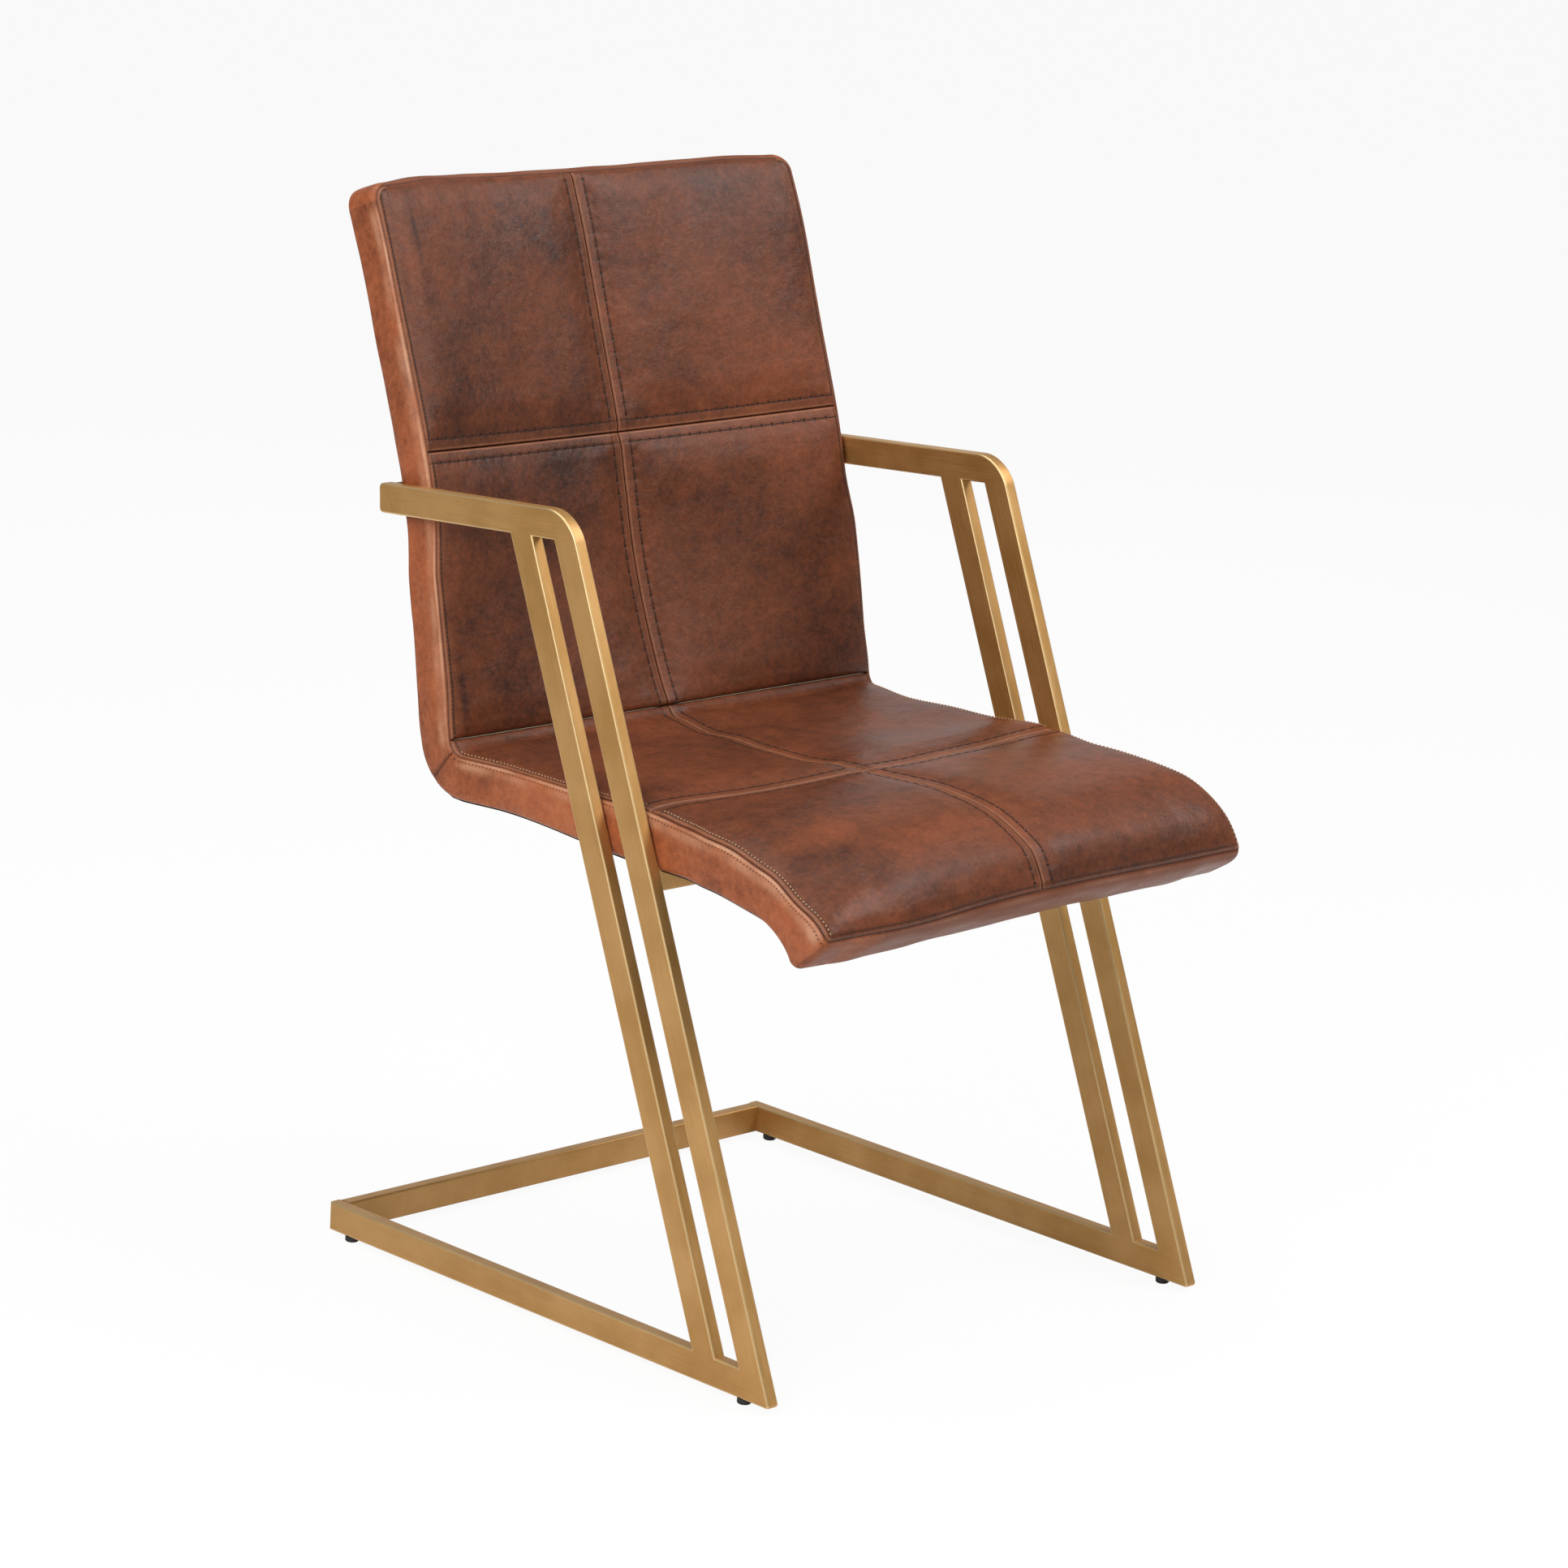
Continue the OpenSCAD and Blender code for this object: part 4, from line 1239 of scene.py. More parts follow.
@dataclass
class LeatherShell:
    """The shell's eight panels, its boxing bands and covers."""

    form: ShellForm
    finishes: Finishes
    band_crown: float = 2.6
    # How far a row stays from a seam that has no row of its own
    row_gap: float = 6.0
    panels: list[Panel] = field(default_factory=list)

    def __post_init__(self) -> None:
        """Lists the panels."""
        form, kind = self.form, SeamKind
        lumbar, crease, cross = form.s_lumbar, form.s_crease, form.s_cross
        for name, s0, s1, start, end, outer in (
                ("back_upper", 0.0, lumbar, kind.TOP, kind.LAPPED, kind.SIDE_BACK),
                ("back_lower", lumbar, crease, kind.LAPPED, kind.CREASE, kind.SIDE_BACK),
                ("seat_rear", crease, cross, kind.CREASE, kind.LAPPED, kind.SIDE_SEAT),
                ("seat_front", cross, form.s_front, kind.LAPPED, kind.FRONT, kind.SIDE_SEAT)):
            for side, word in SIDES:
                self.panels.append(Panel(
                    f"{name}_{word}_leather", f"{name}_{word}_panel", side,
                    s0, s1, start, end, outer))

    def build(self) -> None:
        """Makes every leather piece."""
        for panel in self.panels:
            panel.blank = Blank(panel, self.form)
        press([panel.blank for panel in self.panels])
        for panel in self.panels:
            self.make_panel(panel)
        for side, word in SIDES:
            self.make_boxings(side, word)
        self.make_top_band()
        self.make_lip()
        self.make_back_cover()
        self.make_under_cover()
        self.make_pads()
        self.make_stitches()

    def spread(self, panel: Panel, pitch: float) -> tuple[np.ndarray, np.ndarray]:
        """Where the stitches of a panel's rows are.

        Args:
            panel: The panel.
            pitch: The distance from stitch to stitch.

        Returns:
            Distances along the side line, and from the chair's middle.
        """
        flat, outer = SeamKind.LAPPED.value, panel.outer.value
        s_low = panel.s0 + (flat.row if panel.start is SeamKind.LAPPED else self.row_gap)
        s_high = panel.s1 - (flat.row if panel.end is SeamKind.LAPPED else self.row_gap)
        x_high = self.form.half_w - outer.inset - outer.row - self.row_gap / 2
        run = np.arange(flat.row + pitch / 2, self.form.s_end, pitch)
        s = panel.s0 + run
        return s[(s > s_low) & (s < s_high)], run[run < x_high]

    def make_stitches(self) -> None:
        """Sews the rows beside the seams: long ones on the face, short ones along the sides."""
        brown = Stitching(
            "face_stitching", Thread(length=7.8, radius=0.46, proud=0.1), self.form)
        tan = Stitching(
            "edge_stitching", Thread(length=2.7, radius=0.55, proud=0.35), self.form)
        short = Stitching(
            "rim_stitching", Thread(length=2.6, radius=0.4, proud=0.1), self.form)
        flat = SeamKind.LAPPED.value
        for panel in self.panels:
            outer = panel.outer.value
            lengths, widths = self.spread(panel, flat.pitch)
            brown.along(panel, lengths, np.full_like(lengths, flat.row), True)
            for seam, s_row in (
                    (panel.start, panel.s0 + flat.row), (panel.end, panel.s1 - flat.row)):
                if seam is SeamKind.LAPPED:
                    brown.along(panel, np.full_like(widths, s_row), widths, False)
            lengths, widths = self.spread(panel, outer.pitch)
            beside = self.form.side_at(lengths) - outer.inset - outer.row
            fine = tan if panel.outer is SeamKind.SIDE_SEAT else short
            fine.along(panel, lengths, beside, True)
            if panel.end is SeamKind.FRONT:
                s_row = panel.s1 - panel.end.value.inset - panel.end.value.row
                short.along(panel, np.full_like(widths, s_row), widths, False)
        for stitching, thread in (
                (brown, self.finishes.dark_thread), (short, self.finishes.dark_thread),
                (tan, self.finishes.tan_thread)):
            stitching.finish(thread, "panel_leather")

    def make_panel(self, panel: Panel) -> None:
        """Makes one panel.

        Args:
            panel: Which one.
        """
        form = self.form
        # Panels end a hair beside the seams, so that two never lie in each other
        gap, middle_gap = 0.05, 0.08
        s_from = panel.s0 + panel.start.value.inset + gap
        s_to = panel.s1 - panel.end.value.inset - gap
        s_line = s_from + graded(s_to - s_from, panel.coarse)
        share = graded(form.half_w, panel.coarse) / form.half_w
        s = np.repeat(s_line[:, None], len(share), axis=1)
        inset = panel.outer.value.inset
        ax = middle_gap + share[None, :] * (form.half_inside(s, inset) - middle_gap)
        wear_and_sheen, grime = np.zeros_like(s), np.zeros_like(s)
        for seam, e in panel.edges(form, s, ax):
            d = np.maximum(e - seam.inset, 0.0)
            # Worn dye with a painted sheen beside each seam, and a fainter painted sheen on the
            # strip between seam and row
            wear_and_sheen = np.maximum(wear_and_sheen, seam.wear_and_sheen * bell(d - 1.7, 0.9))
            grime = np.maximum(grime, seam.grime * bell(d, 0.55))
            if seam.row:
                grime = np.maximum(grime, 0.4 * bell(d - seam.row, 1.0))
                wear_and_sheen = np.maximum(wear_and_sheen, 0.15 * seam.wear_and_sheen * bell(d - 5.0, 3.0))
        x = panel.side * ax
        tint = sum(spot.weigh(s, x) for spot in TINTS)
        layers = {"wear_and_sheen": wear_and_sheen, "grime": grime, "tint": tint} | panel.rows(form, s, ax)
        points = form.point(s, x, panel.height(form, s, ax))
        piece = grid_piece(panel.name, points, layers, turn=panel.side > 0)
        dress(piece, self.finishes.panel, (panel.node,))

    def band_profile(self, row: float = 0.0) -> BandProfile:
        """Cross-section of a boxing band, from the face's seam round to the rear's.

        Args:
            row: Distance of the stitch row from the seam, or 0.

        Returns:
            The cross-section.
        """
        thick, roll, rear, tuck = self.form.thick, 8.0, 4.5, 2.5
        first = math.radians(50.0)
        front = first + (math.pi / 2 - first) * np.linspace(0.0, 1.0, 12) ** 1.5
        line = [(-roll + (roll - tuck) * math.sin(first), -roll + (roll - tuck) * math.cos(first))]
        line += [(-roll + roll * math.sin(a), -roll + roll * math.cos(a)) for a in front]
        line += [(0.0, -roll - v * (thick - roll - rear)) for v in np.linspace(0, 1, 15)[1:]]
        line += [(-rear + rear * math.cos(a), -thick + rear - rear * math.sin(a))
                 for a in np.radians(np.arange(10, 81, 10))]
        outwards, heights = np.array(line).T
        steps = np.hypot(np.diff(outwards), np.diff(heights))
        d = np.concatenate([[0.0, 0.0], np.cumsum(steps[1:])])
        dip = 0.3 * bell(d, 0.6) + (0.35 * bell(d - row, 0.9) if row else 0.0)
        return BandProfile(outwards - dip, heights - dip * (d < roll), d, row)

    def make_band(
        self,
        name: str,
        node: str,
        path: np.ndarray,
        profile: BandProfile,
        turn: bool,
        crown: np.ndarray,
        tint: np.ndarray,
        mitre: tuple[float, float],
        lean: float = 0.0,
        rub_and_sheen_share: float = 1.0,
    ) -> None:
        """Makes a boxing band along a path.

        Args:
            name: The piece's name.
            node: The node that the band replaces.
            path: Rows of (s, x, outwards in s, outwards in x).
            profile: Its cross-section.
            turn: Whether its faces are turned over.
            crown: Swell between the corners for each row of the path.
            tint: Dye taken up, and along the lip painted shade, for each row of the path.
            mitre: How dark the seams at its two ends are.
            lean: Share of the face's hollow or crown that fades over the thickness.
            rub_and_sheen_share: How strongly the dye is rubbed off its edge, and how strong the
                painted highlight there is.
        """
        form = self.form
        d = profile.d
        run = np.concatenate([[0.0], np.cumsum(np.hypot(np.diff(path[:, 0]), np.diff(path[:, 1])))])
        left = run[-1] - run
        s_base = np.clip(path[:, 0], 0.0, form.s_end)
        up = 1 - d / d[-1]
        shift = form.face_out(s_base, path[:, 1])[:, None] * (1 - lean * (1 - up))[None, :]
        shift = shift + form.settle(s_base, path[:, 1])[:, None] * up[None, :]
        # Unevenness and swell between the seams
        across_fade = smooth(d / 8.0) * smooth((d[-1] - d) / 6.0)
        end_fade = smooth(run / 12.0) * smooth(left / 12.0)
        fade = across_fade[None, :] * end_fade[:, None]
        uneven = 0.9 * ripple(run[:, None] / 38, d[None, :] / 14, 8.8) * fade
        swell = 1 - np.abs(2 * d / d[-1] - 1) ** 4
        seam_at = mitre[0] * bell(run, 0.8) + mitre[1] * bell(left, 0.8)
        drawn_in = 0.4 * (seam_at / 0.6)[:, None]
        out = profile.outwards[None, :] + crown[:, None] * swell[None, :] - drawn_in + uneven
        deeper = form.thick_at(path[:, 0])[:, None] / form.thick
        s = path[:, 0:1] + path[:, 2:3] * out
        x = path[:, 1:2] + path[:, 3:4] * out
        # Worn dye with a painted highlight along the edge, and a painted highlight over the roll,
        # more at some places and towards the nose
        rub_and_sheen = np.stack([0.72 + 0.9 * ripple(run / 30, 2.2, layer) for layer in (0.3, 4.7)], axis=1)
        rub_and_sheen = rub_and_sheen_share * rub_and_sheen * (1 + 0.5 * smooth((path[:, 0] - 800.0) / 90.0))[:, None]
        rub_and_sheen = rub_and_sheen * (smooth(run / 16.0) * smooth(left / 10.0))[:, None]
        edge_wear_and_sheen, roll_sheen = 0.9 * bell(d - 1.8, 1.1), 0.5 * bell(d - 6.0, 3.4)
        wear_and_sheen = np.maximum(edge_wear_and_sheen * rub_and_sheen[:, :1], roll_sheen * rub_and_sheen[:, 1:])
        no_row = FAR * (not profile.row)
        layers = {key: np.broadcast_to(layer, s.shape) for key, layer in {
            "wear_and_sheen": np.clip(wear_and_sheen, 0.0, 1.0),
            "grime": np.maximum(0.6 * bell(d, 0.55)[None, :], seam_at[:, None]),
            "tint": tint[:, None], "cross_row": FAR, "cross_run": 0.0,
            "long_row": (np.abs(d - profile.row) / 0.6 + no_row)[None, :],
            "long_run": (run / SeamKind.SIDE_SEAT.value.pitch)[:, None],
        }.items()}
        points = form.point(s, x, profile.heights[None, :] * deeper + shift)
        piece = grid_piece(name, points, layers, turn=turn)
        dress(piece, self.finishes.boxing, (node,))

    def corner(
        self,
        side: int,
        low: float,
        high: float,
        at_front: bool,
    ) -> list[tuple[float, float, float, float]]:
        """Path of a band round one of the shell's corners.

        Args:
            side: -1 for the sitter's right, 1 for the left.
            low: First angle, 0 where the outwards direction is to the side.
            high: Last angle.
            at_front: Whether it is a front corner.

        Returns:
            Rows of (s, x, outwards in s, outwards in x).
        """
        form = self.form
        r = form.front_corner_r if at_front else form.corner_r
        way = 1 if at_front else -1
        centre = form.s_front - r if at_front else r
        half = float(form.side_at(np.array([form.s_front if at_front else 0.0]))[0])
        angles = np.radians(np.linspace(low, high, 2 + int(abs(high - low) / 6)))
        return [(centre + way * r * math.sin(a), side * (half - r + r * math.cos(a)),
                 way * math.sin(a), side * math.cos(a)) for a in angles]

    def make_boxings(self, side: int, word: str) -> None:
        """Makes the back and seat boxing of one side, mitred at the crease.

        Args:
            side: -1 for the sitter's right, 1 for the left.
            word: The side's name.
        """
        form = self.form
        # Darkness of the mitre's seam and of the one at the lip
        dark, faint = 0.6, 0.12
        front = form.s_front - form.front_corner_r
        for part, a, b, row, mitre in (
                ("back", form.corner_r, form.s_mitre, 0.0, (0.0, dark)),
                ("seat", form.s_mitre, front, 3.2, (dark, faint))):
            line = a + graded(b - a, 3.0)
            path = [(v, side * w, 0.0, float(side)) for v, w in zip(line, form.side_at(line))]
            if part == "seat":
                path += self.corner(side, 4, 45, True)
            path = np.array(path)
            s = path[:, 0]
            # The far side swells more towards the nose, and the near one has its own bulges
            fuller = 3.2 if side > 0 else 0.8
            crown = self.band_crown + fuller * smooth((s - form.s_end + 30.0) / 30.0)
            if side < 0:
                crown = crown + np.interp(s, *BULGES)
            tint = 0.03 * np.sin(s / 47.0)
            for middle, amount in BOXING_TINTS:
                tint = tint + amount * bell(s - middle, 60.0)
            self.make_band(
                f"{word}_{part}_boxing_leather", f"{word}_{part}_boxing", path,
                self.band_profile(row), side > 0, crown, tint, mitre)

    def make_top_band(self) -> None:
        """Makes the band over the top and round its corners, dark but for its ends."""
        form = self.form
        reach = form.half_w - form.corner_r
        path = self.corner(-1, 0, 90, False)
        path += [(0.0, x, -1.0, 0.0) for x in np.linspace(-reach, reach, 130)[1:-1]]
        path += self.corner(1, 90, 0, False)
        path = np.array(path)
        inside = form.half_w - np.abs(path[:, 1])
        self.make_band(
            "top_band_leather", "back_top_band", path, self.band_profile(), True,
            self.band_crown + 0.6 * smooth(inside / 60.0), -0.3 * smooth((inside - 6.0) / 16.0),
            (0.0, 0.0), rub_and_sheen_share=0.15)

    def make_lip(self) -> None:
        """Makes the lip along the seat's front, flatter beside the near corner."""
        form = self.form
        reach = float(form.side_at(np.array([form.s_front]))[0]) - form.front_corner_r
        path = self.corner(-1, 45, 90, True)
        path += [(form.s_front, x, 1.0, 0.0) for x in np.linspace(-reach, reach, 160)[1:-1]]
        path += self.corner(1, 90, 45, True)
        path = np.array(path)
        x = path[:, 1]
        # Full from corner to corner, but for a flat stretch on the near side
        crown = 3.4 + 6.5 * smooth((reach - np.abs(x) + 4.0) / 60.0)
        crown = crown - 6.5 * bell(x + 155.0, 70.0) - 2.0 * smooth((x + 10.0) / 60.0)
        crown = np.maximum(crown, 3.4 + 2.4 * smooth(x / 200.0))
        # Painted shade, as under the nose's overhang: darker all along, and darker still away from
        # the lit near corner
        tint = -0.09 - 0.23 * smooth((x + 235.0) / 140.0)
        self.make_band(
            "seat_lip_leather", "seat_front_band", path, self.band_profile(), False, crown,
            tint, (0.12, 0.12), lean=1.0, rub_and_sheen_share=0.12)

    def make_back_cover(self) -> None:
        """Makes the leather on the rear of the back, a little inside the boxings' edge."""
        form = self.form
        inset, s_low = 4.6, form.s_crease + 8.0
        s_line = inset + graded(s_low - inset, 5.0)
        half = graded(form.half_w, 5.0)
        share = np.concatenate([-half[::-1], half[1:]]) / form.half_w
        s = np.repeat(s_line[:, None], len(share), axis=1)
        x = share[None, :] * form.half_inside(s, inset)
        to_ends = np.minimum(s - inset, s_low - s)
        edge = np.minimum(to_ends, form.side_at(s) - inset - np.abs(x))
        puff = 1.2 * smooth(edge / 30.0) - 1.2 * bell(edge, 1.2)
        s_dish = np.minimum(s, form.s_crease - 0.01)
        out = form.dish(s_dish) * form.across(x) - form.thick - puff - 0.8
        layers = {"wear_and_sheen": 0.6 * bell(edge, 2.5)} | {key: np.full_like(s, value) for key, value in {
            "grime": 0.0, "tint": 0.0, "cross_row": FAR, "cross_run": 0.0,
            "long_row": FAR, "long_run": 0.0}.items()}
        piece = grid_piece("outside_back_leather", form.point(s, x, out), layers)
        dress(piece, self.finishes.back, ("outside_back_cover",))

    def make_under_cover(self) -> None:
        """Makes the cloth under the seat, lower by its edges where the seat is thicker."""
        form = self.form
        s_line = np.linspace(form.s_crease + 9.0, form.s_end - 2.0, 90)
        share = np.linspace(-1.0, 1.0, 60)
        s = np.repeat(s_line[:, None], len(share), axis=1)
        x = share[None, :] * (form.side_at(s) - 3.0)
        by_edge = np.maximum(smooth((np.abs(x) - 200.0) / 35.0), smooth((s - 760.0) / 60.0))
        deeper = (form.thick_at(s) - form.thick) * by_edge
        points = form.point(s, x, -1.0 - form.thick - deeper)
        piece = grid_piece("underside_cloth", points, wall=1.2)
        dress(piece, self.finishes.black_cloth, ("underside_cover",))

    def make_pads(self) -> None:
        """Makes the foam under the leather, its edges eased as the leather pulls them round."""
        form = self.form
        ease_r, under, groove_depth, groove_w = 12.0, 3.7, 4.5, 9.0
        for name, a, b in (
                ("back_foam", 5.0, form.s_mitre - 0.3),
                ("seat_foam", form.s_mitre + 0.3, form.s_end - 3.0)):
            s_line = a + graded(b - a, 4.0)
            share = np.linspace(-1.0, 1.0, 121)
            s = np.repeat(s_line[:, None], len(share), axis=1)
            x = share[None, :] * form.half_inside(s, 5.0)
            to_ends = np.minimum(s - a + 4.0, b - s + 4.0)
            e = np.minimum(form.side_at(s) - np.abs(x), to_ends)
            ease = np.clip(ease_r - e, 0.0, ease_r)
            fall = ease_r - np.sqrt(ease_r ** 2 - ease ** 2)
            groove = np.maximum.reduce([
                bell(away, groove_w) for away in (x, s - form.s_lumbar, s - form.s_cross)])
            top = form.face_out(s, x) + form.settle(s, x) - under - groove_depth * groove - fall
            pad = grid_piece(f"{name}_pad", form.point(s, x, top), turn=True, wall=15.0)
            dress(pad, self.finishes.foam, (name,))


# ---------------------------------------------------------------- brass side frames


# Faces of the side view, by the corners that SideFrame.outline names
FRAME_FACES = (
    ("rear_low", "b3", "r3", "rear_top"), ("b3", "b2", "r2", "r3"), ("b2", "b1", "r1", "r2"),
    ("b1", "tip", "r0", "r1"), ("r3", "r2", "u2", "u3"), ("r1", "r0", "u0", "u1"),
    ("end_low", "u3", "a3", "end_high"), ("u3", "u2", "a2", "a3"), ("u2", "u1", "a1", "a2"),
    ("u1", "u0", "corner", "a1"),
)


@dataclass
class SideFrame:
    """One side of the frame, in mm: runner, two uprights and arm, welded and ground flush."""

    side: int
    mid_f: float
    frame_w: float = 515.0
    bar_t: float = 12.0
    bar_d: float = 25.0
    slot_w: float = 25.0
    runner_len: float = 545.0
    lean: float = 22.7
    arm_under: float = 653.0
    arm_rise: float = 4.1
    bend_r: float = 48.0
    end_r: float = 4.0
    glide_h: float = 5.0
    edge: float = 1.8
    crisp: float = 30.0

    def outline(self, arm_end: float) -> dict[str, tuple[float, float]]:
        """Works out the corners of the side view.

        Args:
            arm_end: How far forward the arm's rear end is.

        Returns:
            Distances forward and heights by name. The letters stand for the runner's bottom (b) and
            top (r), and the arm's underside (u) and top (a). Each meets the uprights' edges, which
            are numbered from the front, 0 to 3.
        """
        lean, arm_rise = math.radians(self.lean), math.radians(self.arm_rise)
        k, rise = math.tan(lean), math.tan(arm_rise)
        run, gap = self.bar_d / math.cos(lean), self.slot_w / math.cos(lean)
        low, top = self.glide_h, self.glide_h + self.bar_d
        arm_d = self.bar_d / math.cos(arm_rise)
        ref_f = self.runner_len - 2 * run - gap - k * (self.arm_under - low)

        def up(off: float, z: float) -> tuple[float, float]:
            """Place on an upright's edge at a height."""
            return self.runner_len - off - k * (z - low), z

        def cross(off: float, lift: float) -> tuple[float, float]:
            """Place where an upright's edge meets the arm.

            Args:
                off: How far the edge stands behind the front one.
                lift: Height over the arm's underside.

            Returns:
                Distance forward and height.
            """
            base = self.arm_under + lift - rise * ref_f
            f = (self.runner_len - off - k * (base - low)) / (1 + k * rise)
            return f, base + rise * f

        # The arm's rear end is cut square, so its lower corner stands a little ahead
        low_f = arm_end + self.bar_d * math.sin(arm_rise)
        end_low = (low_f, self.arm_under + rise * (low_f - ref_f))
        pts = {
            "rear_low": (0.0, low), "rear_top": (0.0, top), "tip": up(0.0, low),
            "end_low": end_low, "end_high": (arm_end, end_low[1] + self.bar_d * math.cos(arm_rise)),
            "corner": cross(0.0, arm_d),
        }
        for i, off in enumerate((0.0, run, run + gap, 2 * run + gap)):
            pts[f"r{i}"] = up(off, top)
            pts[f"b{i}"] = (up(off, top)[0], low)
            pts[f"u{i}"] = cross(off, 0.0)
            pts[f"a{i}"] = cross(off, arm_d)
        return pts

    def build(self, finishes: Finishes) -> None:
        """Makes the side frame.

        Args:
            finishes: The chair's materials.
        """
        word = dict(SIDES)[self.side]
        pts = self.outline(self.mid_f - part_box(f"{word}_arm")[1].y * PER_M)
        bm = bmesh.new()
        made = {}

        def at(key: str) -> bmesh.types.BMVert:
            """Gives the vertex of a named corner, made at its first use.

            Args:
                key: The corner's name.

            Returns:
                The vertex.
            """
            if key not in made:
                f, z = pts[key]
                made[key] = bm.verts.new((0.0, (self.mid_f - f) * MM, z * MM))
            return made[key]

        for names in FRAME_FACES:
            bm.faces.new([at(n) for n in names])
        # Rounds the arm's front corner, its rear end and the runner's tip, seen from the side
        turn = math.radians(90.0 - self.lean + self.arm_rise)
        self.round_corner(bm, made["corner"], self.bend_r * math.tan(turn / 2), 20)
        for key, segments in (("end_low", 5), ("end_high", 5), ("tip", 4)):
            self.round_corner(bm, made[key], self.end_r, segments)
        bmesh.ops.recalc_face_normals(bm, faces=bm.faces[:])
        # Gives the flat outline the bar's thickness
        grown = bmesh.ops.extrude_face_region(bm, geom=bm.faces[:])
        moved = [g for g in grown["geom"] if isinstance(g, bmesh.types.BMVert)]
        bmesh.ops.translate(bm, verts=moved, vec=(self.bar_t * MM, 0.0, 0.0))
        inner = (self.frame_w / 2 - self.bar_t) if self.side > 0 else -self.frame_w / 2
        bmesh.ops.translate(bm, verts=bm.verts[:], vec=(inner * MM, 0.0, 0.0))
        bmesh.ops.recalc_face_normals(bm, faces=bm.faces[:])
        # The welds are ground flush, so no line stays between the bars
        level = math.radians(0.5)
        flat = [e for e in bm.edges if len(e.link_faces) == 2 and e.calc_face_angle(0.0) < level]
        bmesh.ops.dissolve_edges(bm, edges=flat, use_verts=False)
        # The long edges are rounded, and those of bar ends and corners stay crisp
        crisp = math.radians(self.crisp)
        sharp = [e for e in bm.edges if len(e.link_faces) == 2 and e.calc_face_angle(0.0) > crisp]
        rims = [e for e in sharp if abs(e.verts[0].co.x - e.verts[1].co.x) < 1e-6]
        rounded = bmesh.ops.bevel(
            bm, geom=rims, offset=self.edge * MM, offset_type="OFFSET", segments=4, profile=0.5,
            affect="EDGES", material=-1, clamp_overlap=False)
        strip = set(rounded["faces"])
        # Marks the middles of the rounded edges' strips, where the brass paints a pale highlight
        rim = bm.verts.layers.float.new("rim")
        for vert in bm.verts:
            vert[rim] = float(all(face in strip for face in vert.link_faces))
        for face in bm.faces:
            face.smooth = True
        for edge in bm.edges:
            edge.smooth = edge.calc_face_angle(0.0) < crisp
        piece = finish_mesh(f"{word}_side_frame", bm)
        piece.modifiers.new("even_shading", "WEIGHTED_NORMAL").keep_sharp = True
        bars = ("floor_runner", "front_upright", "rear_upright", "arm")
        nodes = tuple(f"{word}_{bar}" for bar in bars)
        dress(piece, finishes.brass, nodes)

    def round_corner(
        self,
        bm: bmesh.types.BMesh,
        vert: bmesh.types.BMVert,
        reach: float,
        segments: int,
    ) -> None:
        """Rounds a corner of the flat outline.

        Args:
            bm: The mesh.
            vert: The corner.
            reach: How far along both edges the rounding goes.
            segments: Its number of facets.
        """
        bmesh.ops.bevel(
            bm, geom=[vert], offset=reach * MM, offset_type="OFFSET", segments=segments,
            profile=0.5, affect="VERTICES", material=-1, clamp_overlap=False)


# ---------------------------------------------------------------- studio


@dataclass(frozen=True)
class SoftBox:
    """A soft lamp: its place and size in metres, and its power in watts."""

    name: str
    place: tuple[float, float, float]
    size: tuple[float, float]
    watts: float


SOFT_BOXES = (
    SoftBox("key_box", (-2.6, -0.8, 2.2), (1.7, 1.7), 66.0),
    SoftBox("fill_box", (1.1, -2.7, 2.5), (1.1, 1.1), 19.0),
    SoftBox("sheen_box", (1.5, -1.1, 2.5), (1.3, 1.3), 34.0),
    SoftBox("top_box", (-0.3, 0.5, 3.0), (1.6, 1.6), 28.0),
    SoftBox("rear_box", (2.3, 2.5, 1.4), (2.2, 1.6), 6.0),
)
WHITE = (1.0, 1.0, 1.0, 1.0)


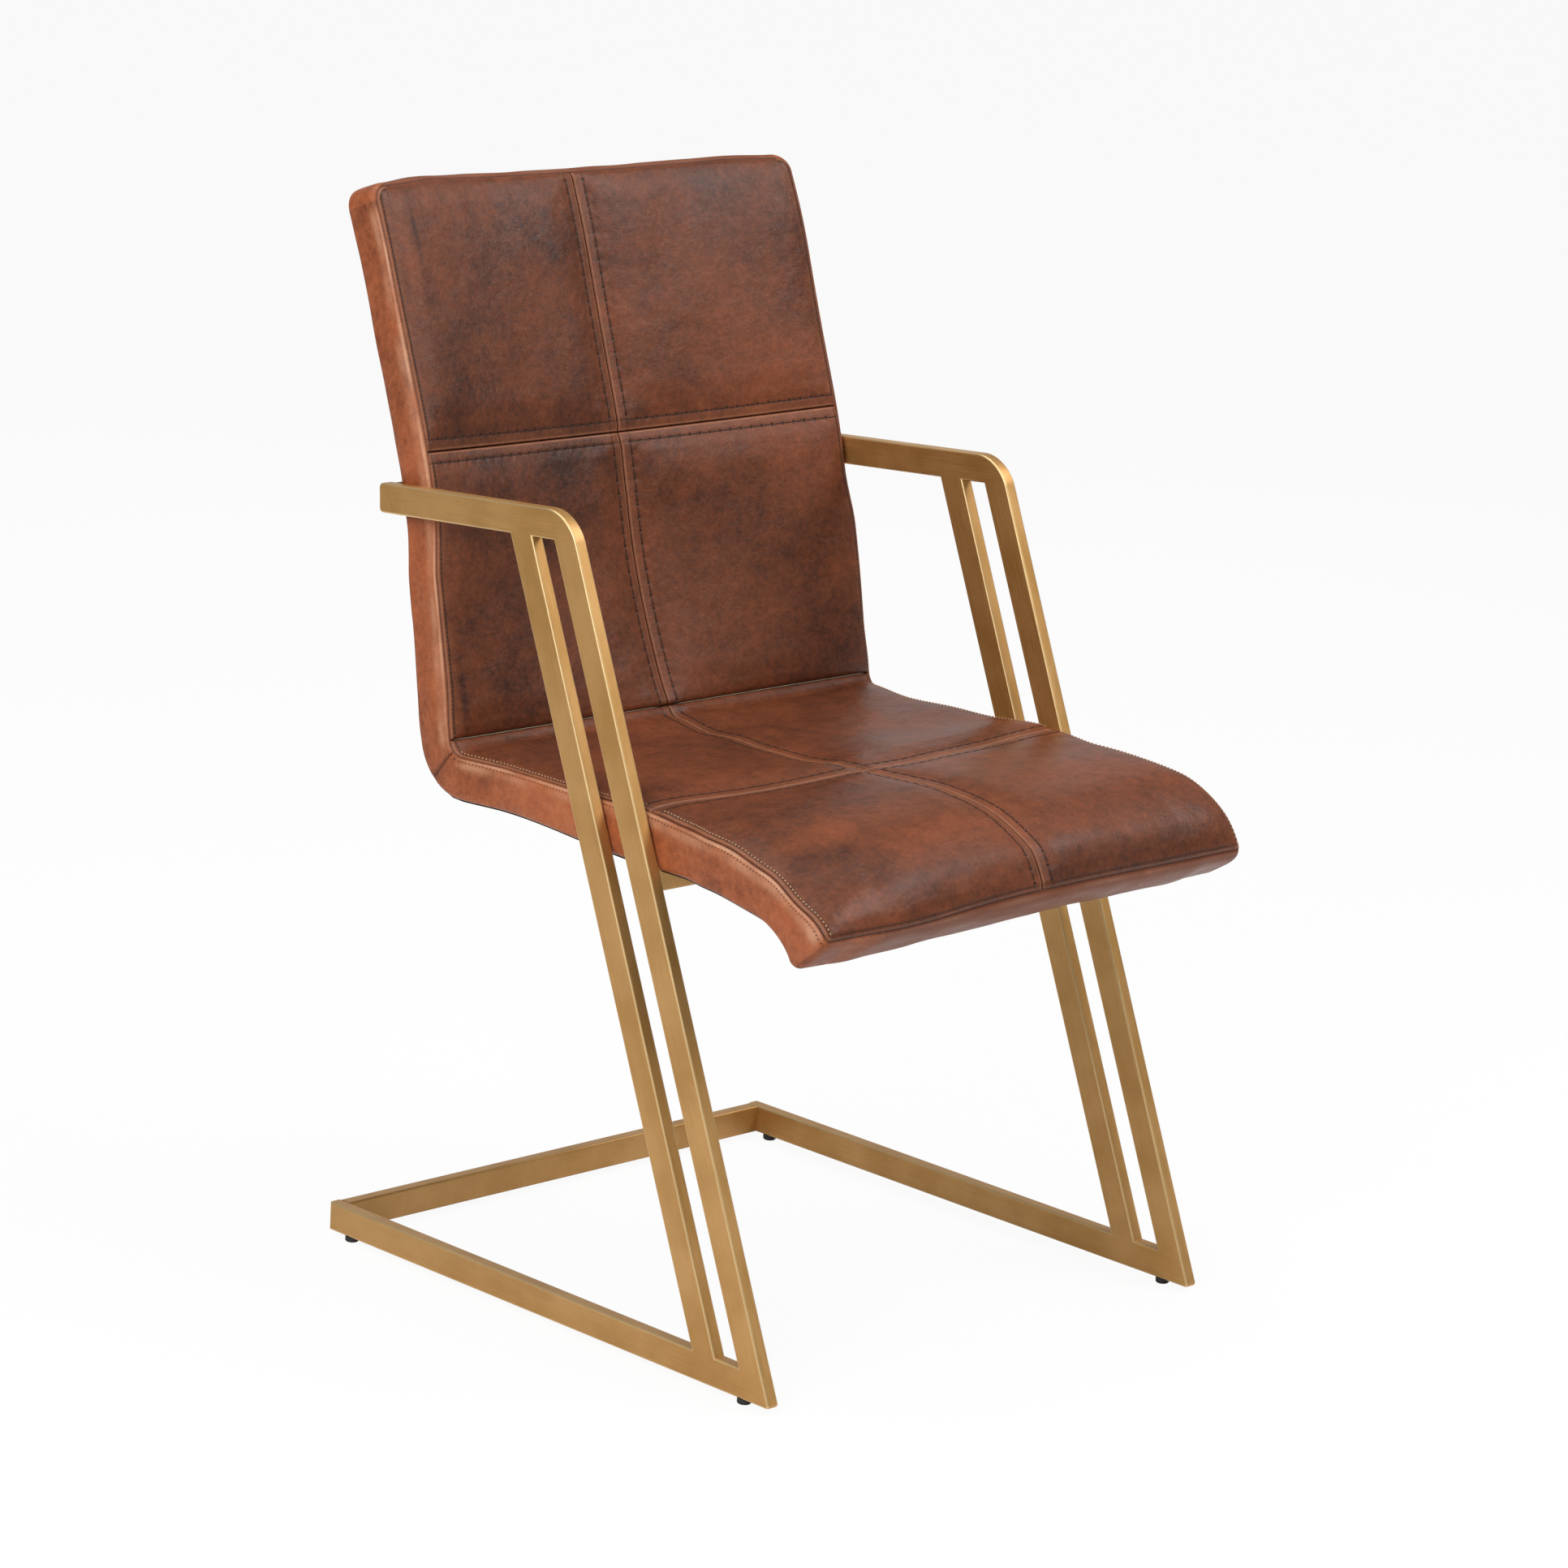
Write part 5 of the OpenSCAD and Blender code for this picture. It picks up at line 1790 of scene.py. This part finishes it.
@dataclass
class Studio:
    """Pale floor, soft lamps and the camera at the photograph's place, in metres."""

    mid_f: float
    lens: float = 124.7
    camera_at: tuple[float, float, float] = (-3.159344, -3.403548, 1.523503)
    camera_right: tuple[float, float, float] = (0.713210, -0.698744, 0.055574)
    camera_down: tuple[float, float, float] = (-0.129394, -0.209163, -0.969282)
    camera_ahead: tuple[float, float, float] = (0.688904, 0.684110, -0.239591)
    lamps_aim: tuple[float, float, float] = (0.0, 0.0, 0.5)
    floor_glow: float = 0.93
    soft_light: float = 0.28

    def build(self) -> None:
        """Makes the stage, the lamps and the camera."""
        self.make_camera()
        self.make_floor()
        self.make_world()
        self.make_lamps()

    def make_camera(self) -> None:
        """Places the camera as fitted to the photograph, measured from the runner's middle."""
        data = bpy.data.cameras.new("camera")
        data.sensor_width = 36.0
        data.lens = self.lens
        data.clip_end = 50.0
        camera = bpy.data.objects.new("camera", data)
        bpy.context.scene.collection.objects.link(camera)
        axes = (Vector(self.camera_right), -Vector(self.camera_down), -Vector(self.camera_ahead))
        x, y, z = self.camera_at
        place = Matrix.Translation(Vector((x, self.mid_f * MM + y, z)))
        camera.matrix_world = place @ Matrix(axes).transposed().to_4x4()
        bpy.context.scene.camera = camera

    def make_floor(self) -> None:
        """Makes the pale floor, nearly white to the camera and still shaded under the chair."""
        bm = bmesh.new()
        bmesh.ops.create_grid(bm, x_segments=2, y_segments=2, size=12.0)
        floor = finish_mesh("floor", bm)
        material = bpy.data.materials.new("pale_floor")
        tree = fresh_tree(material)
        diffuse = add_node(tree, "BsdfDiffuse", inputs={"Color": srgb("#F4F4F4")})
        glow = add_node(tree, "Emission", inputs={"Color": WHITE, "Strength": 1.0})
        path = add_node(tree, "LightPath")
        share = add_node(tree, "Math", {"operation": "MULTIPLY"}, {
            0: path.outputs["Is Camera Ray"], 1: self.floor_glow})
        mix = add_node(tree, "MixShader", inputs={
            0: share.outputs[0], 1: diffuse.outputs[0], 2: glow.outputs[0]})
        add_node(tree, "OutputMaterial", inputs={"Surface": mix.outputs[0]})
        floor.data.materials.append(material)

    def make_world(self) -> None:
        """Makes the surroundings: white to the camera, soft grey as a light."""
        world = bpy.data.worlds.new("studio")
        tree = fresh_tree(world)
        path = add_node(tree, "LightPath")
        soft = add_node(tree, "Background", inputs={
            "Color": srgb("#F4F2EE"), "Strength": self.soft_light})
        white = add_node(tree, "Background", inputs={"Color": WHITE, "Strength": 1.0})
        mix = add_node(tree, "MixShader", inputs={
            0: path.outputs["Is Camera Ray"], 1: soft.outputs[0], 2: white.outputs[0]})
        add_node(tree, "OutputWorld", inputs={"Surface": mix.outputs[0]})
        bpy.context.scene.world = world

    def make_lamps(self) -> None:
        """Makes the soft boxes, turned to the chair's middle."""
        for box in SOFT_BOXES:
            data = bpy.data.lights.new(box.name, "AREA")
            data.shape = "RECTANGLE"
            data.size, data.size_y = box.size
            data.energy = box.watts
            lamp = bpy.data.objects.new(box.name, data)
            lamp.location = box.place
            aim = Vector(self.lamps_aim) - Vector(box.place)
            lamp.rotation_euler = aim.to_track_quat("-Z", "Y").to_euler()
            bpy.context.scene.collection.objects.link(lamp)


# ---------------------------------------------------------------- the whole chair


def dress_node(node: str, material: bpy.types.Material) -> None:
    """Gives a fixed node its material.

    Args:
        node: The node's name.
        material: Its finish.
    """
    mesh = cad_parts[node].data
    mesh.materials.clear()
    mesh.materials.append(material)
    LOG.info("%s keeps its solid, in %s", node, material.name)


def main() -> None:
    """Builds the chair's looks and the studio."""
    logging.basicConfig(level=logging.INFO, format="%(name)s: %(message)s")
    bpy.context.scene.view_settings.view_transform = "Standard"
    mid_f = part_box("right_floor_runner")[1].y * PER_M
    finishes = Finishes()
    Studio(mid_f).build()
    for side, _ in SIDES:
        SideFrame(side, mid_f).build(finishes)
    LeatherShell(ShellForm(mid_f), finishes).build()
    for material, nodes in (
            (finishes.brass, ("rear_floor_bar", "under_seat_bar", "back_support_bar")),
            (finishes.glide, ("floor_glides",)), (finishes.plywood, ("plywood_shell",)),
            (finishes.black_steel, ("back_bolts", "seat_bolts")),
            (finishes.zinc, ("back_tee_nuts", "seat_tee_nuts"))):
        for node in nodes:
            dress_node(node, material)


if __name__ == "__main__":
    main()
